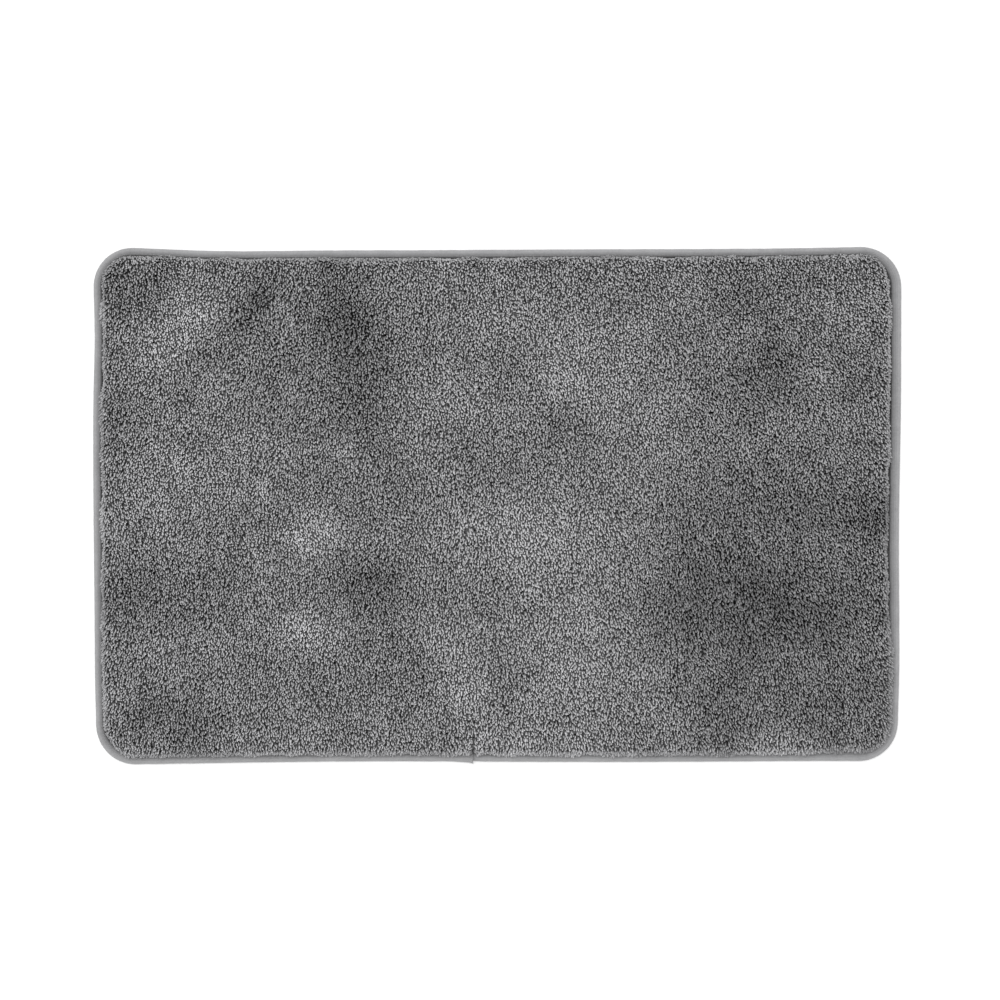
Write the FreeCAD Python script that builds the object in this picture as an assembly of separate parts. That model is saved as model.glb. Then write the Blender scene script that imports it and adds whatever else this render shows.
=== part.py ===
import FreeCAD
import Part

import math
import os

V = FreeCAD.Vector

# Bath mat, millimetres, +Z up. The origin is the centre of the underside.
# X runs along the long side, and -Y is the front edge, where the tape is joined.

# ---- driving dimensions -------------------------------------------------

# outline
mat_length = 800.0
mat_width = 512.0
corner_radius = 40.0
long_edge_bow = 2.4            # how far the seam draws in the middle of each long edge

# layers, from the floor up
rubber_film_thickness = 0.4
backing_cloth_thickness = 0.5
latex_thickness = 1.0
primary_backing_thickness = 0.5
pile_height = 14.0             # above the primary backing

# binding tape, folded round the raw edge
tape_thickness = 1.2
tape_upper_plies = 2           # the tape's raw edge is turned under on the pile side
tape_upper_width = 7.2
tape_lower_width = 9.6
fold_wall = 1.8                # tape and seam allowance at the outermost point of the fold
fold_clearance = 0.2           # cut edges of the layers to the inside of the fold

# lap, where the tape's finishing end covers its starting end
lap_end_x = -24.0
lap_length = 13.0
lap_thickness = 0.8
lap_seam_margin = 0.3

# tack that closes the lap: thread bars laid side by side round the fold
tack_bars = 8
tack_bar_length = 5.0
tack_bar_gap = 0.15
tack_end_margin = 0.5

# seam
thread_diameter = 0.4
thread_clearance = 0.05        # thread to the channel that it has pressed in the tape
needle_channel_depth = 0.35
seam_inset = 6.0

# pile
pile_clearance = 0.2
pile_overhang = 2.4            # how far the tufts lean out over the tape
pile_shoulder_radius = 7.0
pile_lip_radius = 1.0

# rows of yarn under the primary backing
tuft_row_pitch = 5.0
tuft_row_width = 1.6
tuft_row_height = 0.5
tuft_row_margin = 6.0          # from the cut edge of the layers to the ends of the rows

# dots on the rubber film
dot_pitch = 20.0
dot_base_radius = 2.4
dot_tip_radius = 1.8
dot_margin = 5.0               # from the inner edge of the tape to a dot

# folded care label, caught under the tape at the back edge
label_width = 34.0
label_length = 24.0
label_ply_thickness = 0.22
label_ply_gap = 0.06
label_centre_x = 300.0
label_root_inset = 4.5
label_slot_clearance = 0.1
label_dot_clearance = 1.0

# ---- levels and insets that follow from them ----------------------------

rubber_film_bottom = tape_thickness
backing_cloth_bottom = rubber_film_bottom + rubber_film_thickness
latex_bottom = backing_cloth_bottom + backing_cloth_thickness
primary_backing_bottom = latex_bottom + latex_thickness
pile_bottom = primary_backing_bottom + primary_backing_thickness
tape_top = pile_bottom + tape_upper_plies * tape_thickness
fold_radius = tape_top / 2.0
lap_top = tape_top + lap_thickness
pile_crown_bottom = lap_top + thread_diameter + pile_clearance
pile_top = pile_bottom + pile_height

layer_inset = fold_wall + fold_clearance
pile_foot_inset = tape_upper_width + pile_clearance
pile_crown_inset = pile_foot_inset - pile_overhang

thread_radius = thread_diameter / 2.0
channel_width = thread_diameter + 2.0 * thread_clearance
channel_outer = seam_inset - channel_width / 2.0
channel_inner = seam_inset + channel_width / 2.0
needle_channel_floor = tape_top - needle_channel_depth
bobbin_channel_roof = thread_diameter + 2.0 * thread_clearance
label_thickness = 2.0 * label_ply_thickness + label_ply_gap

half_length = mat_length / 2.0
half_width = mat_width / 2.0
corner_x = half_length - corner_radius
corner_y = half_width - corner_radius

# Each long edge is one arc that bows inward and runs smoothly into the round corners.
# Its centre lies outside the mat, on the Y axis.
bow_radius = (corner_x ** 2 + long_edge_bow ** 2) / (2.0 * long_edge_bow) - corner_radius
bow_centre_y = half_width - long_edge_bow + bow_radius
bow_half_angle = math.asin(corner_x / (bow_radius + corner_radius))


# ---- outline ------------------------------------------------------------

def on_corner(sign_x, sign_y, angle, inset):
    """Point of a corner arc, with its angle counted from the X axis towards the Y axis."""
    radius = corner_radius - inset
    return V(sign_x * (corner_x + radius * math.cos(angle)),
             sign_y * (corner_y + radius * math.sin(angle)), 0)


def corner_arc(sign_x, sign_y, inset):
    full = math.pi / 2.0 + bow_half_angle
    side = on_corner(sign_x, sign_y, 0.0, inset)
    middle = on_corner(sign_x, sign_y, full / 2.0, inset)
    bowed = on_corner(sign_x, sign_y, full, inset)
    if sign_x * sign_y > 0:
        return Part.Arc(side, middle, bowed).toShape()
    return Part.Arc(bowed, middle, side).toShape()


def long_edge(sign_y, inset):
    start = on_corner(sign_y, sign_y, math.pi / 2.0 + bow_half_angle, inset)
    middle = V(0, sign_y * (half_width - long_edge_bow - inset), 0)
    return Part.Arc(start, middle, V(-start.x, start.y, 0)).toShape()


def short_edge(sign_x, inset):
    x = sign_x * (half_length - inset)
    return Part.LineSegment(V(x, -sign_x * corner_y, 0), V(x, sign_x * corner_y, 0)).toShape()


def outline_edges(inset):
    """The mat's outline moved inward by inset, counterclockwise from the front right corner."""
    return [corner_arc(1, -1, inset), short_edge(1, inset),
            corner_arc(1, 1, inset), long_edge(1, inset),
            corner_arc(-1, 1, inset), short_edge(-1, inset),
            corner_arc(-1, -1, inset), long_edge(-1, inset)]


def edge_y(x):
    """How far the outline of a long edge stands from the X axis at x."""
    return bow_centre_y - math.sqrt(bow_radius ** 2 - x ** 2)


def inset_of(x, y):
    """Distance from a point inside the mat to the outline."""
    past_x = abs(x) - corner_x
    past_y = abs(y) - corner_y
    if past_x > 0 and past_y > 0:
        return corner_radius - math.hypot(past_x, past_y)
    if past_x > 0:
        return half_length - abs(x)
    return min(half_length - abs(x), edge_y(x) - abs(y))


def layer(inset, bottom, top):
    """A flat layer with the mat's outline moved inward by inset."""
    face = Part.Face(Part.Wire(outline_edges(inset)))
    face.translate(V(0, 0, bottom))
    return face.extrude(V(0, 0, top - bottom))


# ---- rings that follow the outline --------------------------------------

def section_at(profile, place, inward):
    """Stand a profile, drawn in the XZ plane with X as the inset, upright on the outline."""
    section = profile.copy()
    section.rotate(V(0, 0, 0), V(0, 0, 1), math.degrees(math.atan2(inward.y, inward.x)))
    section.translate(place)
    return section


def sweep_along(edge, profile):
    """Sweep a profile along one straight or round stretch of the outline."""
    start = edge.valueAt(edge.FirstParameter)
    inward = V(0, 0, 1).cross(edge.tangentAt(edge.FirstParameter))
    section = section_at(profile, start, inward)
    if isinstance(edge.Curve, Part.Line):
        return section.extrude(edge.valueAt(edge.LastParameter) - start)
    turn = math.degrees(edge.Length / edge.Curve.Radius)
    if inward.dot(edge.Curve.Center - start) < 0:
        turn = -turn
    return section.revolve(edge.Curve.Center, V(0, 0, 1), turn)


def ring(profile):
    """One closed ring of a profile round the whole mat."""
    stretches = [sweep_along(edge, profile) for edge in outline_edges(0.0)]
    return stretches[0].fuse(stretches[1:]).removeSplitter()


def segment(start, end):
    return Part.LineSegment(V(start[0], 0, start[1]), V(end[0], 0, end[1])).toShape()


def polyline(points):
    return [segment(a, b) for a, b in zip(points, points[1:])]


def bend(start, middle, end):
    points = [V(inset, 0, level) for inset, level in (start, middle, end)]
    return Part.Arc(*points).toShape()


def profile_face(edges):
    return Part.Face(Part.Wire(edges))


def round_section(inset, level, radius):
    circle = Part.Circle(V(inset, 0, level), V(0, 1, 0), radius)
    return profile_face([circle.toShape()])


# ---- cloths, latex and pile ---------------------------------------------

def make_backing_cloth():
    return layer(layer_inset, backing_cloth_bottom, latex_bottom)


def make_primary_backing():
    return layer(layer_inset, primary_backing_bottom, pile_bottom)


def make_tuft_back_stitches():
    """Rows of yarn that hang under the primary backing, trimmed to the mat's outline."""
    field = layer(layer_inset + tuft_row_margin,
                  primary_backing_bottom - tuft_row_height, primary_backing_bottom)
    rows_each_side = int((half_width - layer_inset - tuft_row_margin) / tuft_row_pitch)
    rows = []
    for number in range(-rows_each_side, rows_each_side + 1):
        low = V(-half_length, number * tuft_row_pitch - tuft_row_width / 2.0,
                primary_backing_bottom - tuft_row_height)
        rows.append(Part.makeBox(mat_length, tuft_row_width, tuft_row_height, low))
    return field.common(Part.makeCompound(rows))


def make_latex_coat(back_stitches):
    """The coat fills the space between the rows and covers them from below."""
    return layer(layer_inset, latex_bottom, primary_backing_bottom).cut(back_stitches)


def make_cut_pile():
    """The mass of tufts: a foot between the tape's edges and a crown that leans out over the tape."""
    foot = layer(pile_foot_inset, pile_bottom, pile_crown_bottom)
    crown = layer(pile_crown_inset, pile_crown_bottom, pile_top)
    top_edges = [edge for edge in crown.Edges if edge.BoundBox.ZMin > pile_top - thread_clearance]
    crown = crown.makeFillet(pile_shoulder_radius, top_edges)
    lip_edges = [edge for edge in crown.Edges if edge.BoundBox.ZMax < pile_crown_bottom + thread_clearance]
    crown = crown.makeFillet(pile_lip_radius, lip_edges)
    return crown.fuse(foot).removeSplitter()


# ---- edge binding -------------------------------------------------------

def tape_profile():
    """Folded tape, with the groove for the layers and the channels that the seam presses in it."""
    nose_radius = (tape_top - pile_bottom) / 2.0
    nose_level = pile_bottom + nose_radius
    nose_start = tape_upper_width - nose_radius
    shoulder_level = nose_level + math.sqrt(nose_radius ** 2 - (channel_inner - nose_start) ** 2)
    upper = polyline([
        (fold_radius, tape_top),
        (channel_outer, tape_top),
        (channel_outer, needle_channel_floor),
        (channel_inner, needle_channel_floor),
        (channel_inner, shoulder_level),
    ])
    nose = bend((channel_inner, shoulder_level), (tape_upper_width, nose_level), (nose_start, pile_bottom))
    lower = polyline([
        (nose_start, pile_bottom),
        (fold_wall, pile_bottom),
        (fold_wall, tape_thickness),
        (tape_lower_width, tape_thickness),
        (tape_lower_width, 0.0),
        (channel_inner, 0.0),
        (channel_inner, bobbin_channel_roof),
        (channel_outer, bobbin_channel_roof),
        (channel_outer, 0.0),
        (fold_radius, 0.0),
    ])
    fold = bend((fold_radius, 0.0), (0.0, fold_radius), (fold_radius, tape_top))
    return profile_face(upper + [nose] + lower + [fold])


def lap_profile():
    """The extra ply of the lap: round the outside of the fold and over the upper leg."""
    outer_radius = fold_radius + lap_thickness
    outer_at_floor = fold_radius - math.sqrt(outer_radius ** 2 - fold_radius ** 2)
    lap_inner = channel_outer - lap_seam_margin
    around = bend((outer_at_floor, 0.0), (-lap_thickness, fold_radius), (fold_radius, lap_top))
    inside = polyline([
        (fold_radius, lap_top),
        (lap_inner, lap_top),
        (lap_inner, tape_top),
        (fold_radius, tape_top),
    ])
    along_fold = bend((fold_radius, tape_top), (0.0, fold_radius), (fold_radius, 0.0))
    return profile_face([around] + inside + [along_fold, segment((fold_radius, 0.0), (outer_at_floor, 0.0))])


def front_stretch(from_x, to_x):
    """Part of the front edge's outline, from left to right."""
    points = [V(x, -edge_y(x), 0) for x in (from_x, (from_x + to_x) / 2.0, to_x)]
    return Part.Arc(*points).toShape()


def make_edge_binding(care_label_slot):
    lap = sweep_along(front_stretch(lap_end_x - lap_length, lap_end_x), lap_profile())
    return ring(tape_profile()).fuse(lap).cut(care_label_slot)


def make_join_tack_stitches():
    """Short bars of thread on the lap, side by side from the seam round to the outside of the fold."""
    bar_orbit = fold_radius + lap_thickness + thread_clearance + thread_radius
    step = (thread_diameter + tack_bar_gap) / bar_orbit
    start_x = lap_end_x - tack_end_margin - tack_bar_length
    stretch = front_stretch(start_x, start_x + tack_bar_length)
    bars = []
    for number in range(tack_bars):
        angle = math.pi / 2.0 + number * step
        inset = fold_radius + bar_orbit * math.cos(angle)
        level = fold_radius + bar_orbit * math.sin(angle)
        bars.append(sweep_along(stretch, round_section(inset, level, thread_radius)))
    return Part.makeCompound(bars)


# ---- seam ---------------------------------------------------------------

def make_binding_needle_thread():
    level = needle_channel_floor + thread_clearance + thread_radius
    return ring(round_section(seam_inset, level, thread_radius))


def make_binding_bobbin_thread():
    level = thread_clearance + thread_radius
    return ring(round_section(seam_inset, level, thread_radius))


# ---- underside ----------------------------------------------------------

def label_root_y():
    return edge_y(label_centre_x) - label_root_inset


def make_care_label():
    """A ribbon folded in half: its two ends are in the seam and its fold hangs free."""
    root = label_root_y()
    tip = root - label_length
    inner_fold = tip + label_ply_thickness
    bottom = rubber_film_bottom - label_thickness
    lower_ply_top = bottom + label_ply_thickness
    upper_ply_bottom = rubber_film_bottom - label_ply_thickness
    outline = [
        (root, bottom), (tip, bottom), (tip, rubber_film_bottom), (root, rubber_film_bottom),
        (root, upper_ply_bottom), (inner_fold, upper_ply_bottom),
        (inner_fold, lower_ply_top), (root, lower_ply_top), (root, bottom),
    ]
    left = label_centre_x - label_width / 2.0
    corners = [V(left, y, z) for y, z in outline]
    return Part.Face(Part.makePolygon(corners)).extrude(V(label_width, 0, 0))


def make_care_label_slot():
    """Room for the label's root between the tape's lower leg and the rubber film."""
    gap = label_slot_clearance
    low = V(label_centre_x - label_width / 2.0 - gap,
            label_root_y() - label_length - gap,
            rubber_film_bottom - label_thickness - gap)
    return Part.makeBox(label_width + 2.0 * gap, label_length + 2.0 * gap, label_thickness + gap, low)


def under_label(x, y):
    reach = dot_base_radius + label_dot_clearance
    beside = abs(x - label_centre_x) > label_width / 2.0 + reach
    return not beside and y > label_root_y() - label_length - reach


def make_grip_rubber():
    """A rubber film cast with staggered rows of blunt dots, as proud as the tape's lower leg."""
    row_pitch = dot_pitch * math.sqrt(3.0) / 2.0
    rows_each_side = int(half_width / row_pitch)
    dots_each_side = int(half_length / dot_pitch) + 1
    least_inset = tape_lower_width + dot_margin + dot_base_radius
    dots = []
    for row in range(-rows_each_side, rows_each_side + 1):
        y = row * row_pitch
        stagger = (row % 2) * dot_pitch / 2.0
        for column in range(-dots_each_side, dots_each_side + 1):
            x = column * dot_pitch + stagger
            inside = abs(x) < half_length and abs(y) < half_width
            if inside and inset_of(x, y) >= least_inset and not under_label(x, y):
                dots.append(Part.makeCone(dot_tip_radius, dot_base_radius, rubber_film_bottom, V(x, y, 0)))
    return layer(layer_inset, rubber_film_bottom, backing_cloth_bottom).fuse(dots)


# ---- the mat ------------------------------------------------------------

def make_parts():
    back_stitches = make_tuft_back_stitches()
    return {
        "cut_pile": make_cut_pile(),
        "primary_backing": make_primary_backing(),
        "tuft_back_stitches": back_stitches,
        "latex_coat": make_latex_coat(back_stitches),
        "backing_cloth": make_backing_cloth(),
        "grip_rubber": make_grip_rubber(),
        "edge_binding": make_edge_binding(make_care_label_slot()),
        "join_tack_stitches": make_join_tack_stitches(),
        "binding_needle_thread": make_binding_needle_thread(),
        "binding_bobbin_thread": make_binding_bobbin_thread(),
        "care_label": make_care_label(),
    }


os.makedirs("parts", exist_ok=True)
for node, shape in make_parts().items():
    shape.exportStep("parts/" + node + ".step")
    box = shape.BoundBox
    print(f"{node}: {len(shape.Solids)} solids, {shape.Volume:.1f} mm3, "
          f"valid {shape.isValid()}, "
          f"x {box.XMin:.2f} {box.XMax:.2f}, y {box.YMin:.2f} {box.YMax:.2f}, z {box.ZMin:.2f} {box.ZMax:.2f}")
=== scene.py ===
import math

import bmesh
import bpy
import numpy as np
from bpy.props import FloatProperty, FloatVectorProperty, IntProperty, PointerProperty
from bpy.types import Operator, Panel, PropertyGroup
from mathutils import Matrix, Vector, noise


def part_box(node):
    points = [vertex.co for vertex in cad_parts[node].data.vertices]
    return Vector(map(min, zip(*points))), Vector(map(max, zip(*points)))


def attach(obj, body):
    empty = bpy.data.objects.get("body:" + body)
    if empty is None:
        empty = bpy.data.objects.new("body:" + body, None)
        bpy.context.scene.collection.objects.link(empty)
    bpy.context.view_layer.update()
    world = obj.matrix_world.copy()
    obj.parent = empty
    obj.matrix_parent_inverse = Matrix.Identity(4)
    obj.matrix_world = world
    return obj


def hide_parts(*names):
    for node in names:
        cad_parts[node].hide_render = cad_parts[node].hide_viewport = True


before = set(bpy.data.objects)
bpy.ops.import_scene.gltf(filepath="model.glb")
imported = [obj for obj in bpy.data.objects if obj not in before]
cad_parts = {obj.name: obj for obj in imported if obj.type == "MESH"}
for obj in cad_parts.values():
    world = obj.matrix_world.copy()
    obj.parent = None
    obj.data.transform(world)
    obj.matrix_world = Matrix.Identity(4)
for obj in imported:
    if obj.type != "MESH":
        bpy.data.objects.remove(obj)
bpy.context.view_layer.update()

bl_info = {
    "name": "Tufted Bath Mat",
    "version": (1, 0, 0),
    "blender": (4, 5, 0),
    "location": "3D View > Sidebar > Bath Mat",
    "description": "Builds a tufted bath mat with a folded binding, a dotted rubber underside and a label",
    "category": "Add Mesh",
}

MM = 0.001
BODY = "root"
WELD = 0.0005 * MM

# how the mat lies: the share by which its back is wider and its front narrower, how far its edges waver, and
# the stretches of an edge that lie out of line, each with the side it is on, its middle and half length along
# that side, and how far it lies off, in millimetres
BACK_SPREAD = 0.0026
EDGE_WAVER = 0.4 * MM
SHORT_EDGE_RATE, SHORT_EDGE_START = 17, 1.0
LONG_EDGE_RATE, LONG_EDGE_START = 15, 0.6
EDGE_OFFSETS = [
    ((0, 1), -275, 85, -2.7), ((0, 1), -100, 350, -0.9), ((0, -1), 400, 140, 2.9),
    ((1, 0), -15, 95, -1.9), ((1, 0), -225, 45, -1.8), ((1, 0), 0, 400, -0.2),
    ((-1, 0), 165, 45, 1.3), ((-1, 0), 0, 400, 0.3), ((-1, 0), -220, 35, 1.2)]

# patches of painted light and shade where the brushed nap lies towards or away, in millimetres and degrees:
# centre x and y, half length and half width, turn from +X, and strength against the plain nap, where a
# lighter patch is above 0
PAINTED_NAP_PATCHES = [
    (-316, 171, 58, 26, 49, 0.10), (-243, 196, 42, 15, 50, -0.12), (-148, 161, 98, 32, -76, -0.12),
    (-182, -31, 30, 26, 0, 0.13), (-187, -126, 32, 20, 0, 0.11), (-122, -81, 32, 28, 0, -0.13),
    (-366, 221, 42, 26, 0, -0.09), (-370, 77, 45, 24, 90, -0.07), (-310, 30, 75, 60, 0, 0.05),
    (-345, -92, 75, 30, 0, -0.08), (-316, -206, 50, 30, 10, -0.08), (30, -24, 110, 38, -3, 0.11),
    (85, 142, 52, 46, 0, 0.10), (-45, 92, 55, 45, 0, 0.06), (135, 60, 55, 42, 90, 0.06),
    (233, 211, 32, 26, 0, -0.08), (256, 128, 44, 40, 0, -0.10), (300, 4, 110, 36, -6, -0.09),
    (372, -14, 28, 22, 90, -0.10), (232, -98, 85, 48, 0, -0.13), (335, -165, 95, 75, 90, -0.09),
    (228, -190, 62, 32, 90, -0.09), (70, -145, 85, 64, 90, 0.085), (-39, -165, 60, 26, 110, 0.09),
    (268, -236, 44, 12, 0, 0.10), (290, -60, 135, 70, -10, -0.045), (340, -38, 50, 9, 0, 0.04),
    (175, 150, 42, 80, 0, 0.03), (0, 190, 75, 55, 0, 0.045), (-112, -160, 42, 34, 0, -0.04),
    (358, 118, 36, 60, 0, -0.03), (10, -236, 110, 14, 0, 0.05)]
PATCH_FALLOFF = 1.4
# how far the patches are pushed about by noise, and the size of that noise: coarse, then fine
NAP_WARPS = [(8 * MM, 60 * MM), (4 * MM, 18 * MM)]
# noise all over the painted nap shade: its strength, and the sizes and seeds of its two layers
NAP_MOTTLE = 0.045
NAP_MOTTLES = [(42 * MM, 3.1), (20 * MM, 7.7)]
# how far the painted nap shade shifts the yarn's tone as seen: more on dark yarn, less on light
NAP_SHIFT = 1.28
NAP_ON_DARK = 1.25
NAP_LOSS_ON_LIGHT = 0.5
EYE_GAMMA = 2.2

# where the pile stops: how far it is drawn in on each side, between these distances in from the outline
LEFT_EDGE_DRAW = 2.8 * MM
RIGHT_EDGE_DRAW = 5.3 * MM
FRONT_EDGE_DRAW = 2.4 * MM
BACK_EDGE_DRAW = 0.8 * MM
DRAW_START = 30 * MM
DRAW_FULL = 4 * MM
EDGE_WANDER = 0.9 * MM
EDGE_WANDER_SIZE = 26 * MM
# the stretch of the front edge where most of the binding is bare
BARE_MIDDLE = 348 * MM
BARE_HALF = 36 * MM
BARE_DRAW = 3.4 * MM
# the front end of the right edge, where the pile spills back over the binding
SPILL_START = 95 * MM
SPILL_FULL = 145 * MM
SPILL_LESS_DRAW = 0.45
SPILL_HANG = 0.6

# how far the outermost strands lean out: at the back, and what the other sides take off that
HANG_BACK = 0.75
LEFT_LESS_HANG = 0.15
RIGHT_LESS_HANG = 0.45
FRONT_LESS_HANG = 0.35
MOST_HANG = 2
HANG_START = 40 * MM
HANG_FULL = 14 * MM
HANG_WANDER = 0.6
HANG_WANDER_SIZE = 20 * MM

# dense lower pile: its side is drawn as pairs of how far in, in millimetres, and what share of its height
GROUND_STEP = 5 * MM
GROUND_RINGS = 48
FLOOR_RINGS = 8
SPINE_SNAP = 8 * MM
EDGE_BULGE = 1.6
BULGE_SHARE = 0.34
GROUND_SIDE = [
    (0.0, 0.0), (-0.5 * EDGE_BULGE, 0.14), (-EDGE_BULGE, BULGE_SHARE), (-1.3, 0.56),
    (0.0, 0.75), (2.2, 0.90), (5.2, 0.985), (9.0, 1.0)]
TOP_SHARE = 0.9
TOP_WAVER = 0.7 * MM
TOP_WAVER_SIZE = 60 * MM

# strands: their roots, their random ranges as shares of the settings, and their lay, lean and shape
ROOT_DENSITY = 600000.0
WALL_SLOPE = 0.8
ROOT_SEED = 11
BAND_SEEDS = 40
RISE_RANGE = (0.78, 1.06)
REACH_RANGE = (0.45, 1.35)
GIRTH_RANGE = (0.75, 1.2)
FLECK_RANGE = (0.42, 0.76)
LAY_SCALE = 26.0
LAY_SWING = 0.95
LAY_JITTER = 0.42
SIDE_LEAN = 0.48
SIDE_RISE = 0.85
EDGE_PULL = 0.7
EDGE_FLOP = 1.1
FLOP_SCALE = 34.0
FLOP_START = 0.42
FLOP_FULL = 0.68
# how far up the ground's surface faces where it counts as flat, for the flop and for the rim, and as its side
FLOP_FLAT = 0.97
RIM_FLAT = 0.98
SIDE_FACING = 0.6
# painted shade: how much darker the strands are on the pile's sloping side
RIM_LIGHT = -0.12
TIP_BUNCH = 1.8
BASE_DROP = 0.14
ARCH = 0.55
ROOT_GIRTH = 0.8
STRAND_BREADTH = 1.15
STRAND_DEPTH = 0.9
NEAR_ZERO = 0.01

# yarn, whose tone is painted dark towards the roots as the shade between the tufts
ROOT_TONE = 0.06
TONE_RISE = 0.66
LIT_BLEND = 0.1
DARKEST_TONE = 0.04
FIBRE_SCALE = 1500.0
TUFT_SCALE = 420.0
# the lower pile's dark and light as shares of the root and tip colours: painted dark as the shade deep
# between the strands
GROUND_DARK = 0.35
GROUND_LIGHT = 0.26

# parting of the pile beside the end of the binding
PARTING_WIDTH = 3.0 * MM
PARTING_END = -228 * MM
PARTING_FADE = 12 * MM
PARTING_BLEND = 0.3
PARTING_PUSH = 2.5
# painted shade in the parting: how much darker its strands are
PARTING_SHADE = 0.3

# edge binding: the tape and its fold
JOIN_X = -24 * MM
LAP = 13 * MM
TAPE_STEP = 1.0 * MM
TAPE_COLUMNS = 14
SHORTEST_TAPE = 1 - 1e-5
OUTLINE_STEP = 2 * MM
FLOOR_GAP = 0.05 * MM
LEAST_LEVEL = 0.02 * MM
UPPER_DROP = 0.95 * MM
UPPER_CURVE = 1.6
UNDERTURN_RISE = 0.25
FOLD_POINTS = 15
LEG_POINTS = 7
NOSE_POINTS = 6
TAPE_WAVER = 0.5 * MM
WAVER_SCALE = 85.0
WAVER_UNDERNEATH = 0.15
# where across the tape the leg on the floor ends and the outer fold begins
LEG_END = 6 * MM
FOLD_START = 11 * MM

# lap: how far the plies move apart there, underneath and on top, and how much thinner each is
LAP_INNER = 0.42 * MM
LAP_LOWER = 0.13 * MM
LAP_UPPER = 0.5 * MM
INNER_SLIM = 0.45
OUTER_SLIM = 0.3
LAP_FADE = 10 * MM
LAP_RISE_BEFORE = 9 * MM
LAP_RISE_AFTER = 1 * MM
# the tape's loose end stands out from the fold
FOLD_SPAN = 3.4 * MM
FLARE_LENGTH = 17 * MM
FLARE = 1.6 * MM
LIP = 1.2 * MM
LIP_START = 3 * MM
LIP_FULL = 0.3 * MM

# gathers in the corners, and creases over the front edge as places along it and depths
GATHER_PITCH = 3.9 * MM
GATHER_DEPTH = 0.13 * MM
GATHER_SWAY = 2.5
GATHER_SWAY_RATE = 61
GATHER_LESS_AT_FOLD = 0.8
GATHER_START = 6 * MM
GATHER_FULL = 8 * MM
BINDING_CREASES = [(368 * MM, 0.35 * MM)]
CREASE_WIDTH = 1.1 * MM

# how much wider the tape lies on top, where the pile is drawn in
RIGHT_TAPE_SPREAD = 1.8 * MM
FRONT_TAPE_SPREAD = 1.1 * MM
BARE_TAPE_SHARE = 0.6
SPREAD_START = 40 * MM
TOP_LEG_LOW = 3 * MM
TOP_LEG_HIGH = 4 * MM
TOP_LEG_START = 2.5 * MM
TOP_LEG_FULL = 6.5 * MM

# seams
UPPER_PULL = 1.0 * MM
LOWER_PULL = 0.7 * MM
PULL_MIDDLE = 0.62
PULL_SWING = 0.38
NEEDLE_STANDS = 1.3
LAP_LIFT = 0.5 * MM
LAP_LIFT_END = 20 * MM
UPPER_DIP = 0.16 * MM
LOWER_DIP = -0.1 * MM
STITCH_JITTER = 0.05
TACK_BARS = 8
TACK_BEHIND = 3.0 * MM
TACK_FIRST = 1.9 * MM
TACK_LAST = 5.6 * MM
TACK_DIP = 0.12 * MM
TACK_STANDS = 0.62 * MM

# bake maps: the margin inside a repeat's cell, and the rows that the long tape is cut into
CELL_MARGIN = 0.14
STRIP_ROWS = 8
STRIP_END_MARGIN = 0.004
STRIP_SIDE_MARGIN = 0.03
CAP_SPOT = 0.002
CAP_RADIUS = 0.0015

# weaves, ribs, twists and floats, each from one to the next
TAPE_THREAD = 0.42 * MM
TAPE_RIB = 1.35 * MM
CLOTH_THREAD = 1.2 * MM
TWIST_PITCH = 0.55 * MM
SATIN_FLOAT = 0.35 * MM
# painted shade of the pile on the tape, past its lower width
PILE_SHADE = 0.45
PILE_SHADE_START = 5 * MM
PILE_SHADE_FULL = 10.5 * MM

# backing layers and underside
LAYER_INSET = 2.0 * MM
LAYER_RINGS = 10
FILM_THICKNESS = 0.4 * MM
FILM_RINGS = 30
FILM_SAG = 0.05 * MM
FILM_SAG_SIZE = 30 * MM
DOT_PITCH = 20 * MM
DOT_ROW = DOT_PITCH * math.sqrt(3) / 2
DOT_TIP_LEVEL = 0.1 * MM
DOT_ROOT = 0.2
DOT_FULLNESS = 0.62
DOT_SIZES = (0.94, 1.04)
DOT_SEED = 21
LABEL_PLY = 0.2 * MM
LABEL_DROOP = 0.35 * MM
LABEL_STEPS = 20
LABEL_BEND_STEPS = 7
LABEL_COLUMNS = 18
LABEL_RIPPLE = 0.12 * MM
LABEL_RIPPLE_RATE = 150
LABEL_RIPPLE_START = 0.7

# stage
FLOOR_RADIUS = 11.0
KEY_SIZE = 2.6
KEY_PLACE = (-0.9, 1.5, 4.8)
CAMERA_PLACE = (2.8 * MM, 5.2 * MM, 2.758)


# ---- levels and outline, from the frame ----------------------------------

BINDING_LOW, BINDING_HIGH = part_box("edge_binding")
PILE_LOW, PILE_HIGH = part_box("cut_pile")
RUBBER_LOW, RUBBER_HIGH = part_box("grip_rubber")
LABEL_LOW, LABEL_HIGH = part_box("care_label")
NEEDLE_LOW, NEEDLE_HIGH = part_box("binding_needle_thread")
BOBBIN_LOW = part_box("binding_bobbin_thread")[0]
TACK_LOW, TACK_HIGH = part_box("join_tack_stitches")

HALF_LENGTH = BINDING_HIGH.x
HALF_WIDTH = BINDING_HIGH.y
CORNER_RADIUS = 40 * MM
LONG_EDGE_BOW = 2.4 * MM
THREAD_RADIUS = (NEEDLE_HIGH.z - NEEDLE_LOW.z) / 2
SEAM_INSET = HALF_LENGTH - (NEEDLE_HIGH.x - THREAD_RADIUS)

CORNER_X = HALF_LENGTH - CORNER_RADIUS
CORNER_Y = HALF_WIDTH - CORNER_RADIUS
BOW_RADIUS = (CORNER_X ** 2 + LONG_EDGE_BOW ** 2) / (2 * LONG_EDGE_BOW) - CORNER_RADIUS
BOW_CENTRE_Y = HALF_WIDTH - LONG_EDGE_BOW + BOW_RADIUS
BOW_HALF_ANGLE = math.asin(CORNER_X / (BOW_RADIUS + CORNER_RADIUS))


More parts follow.
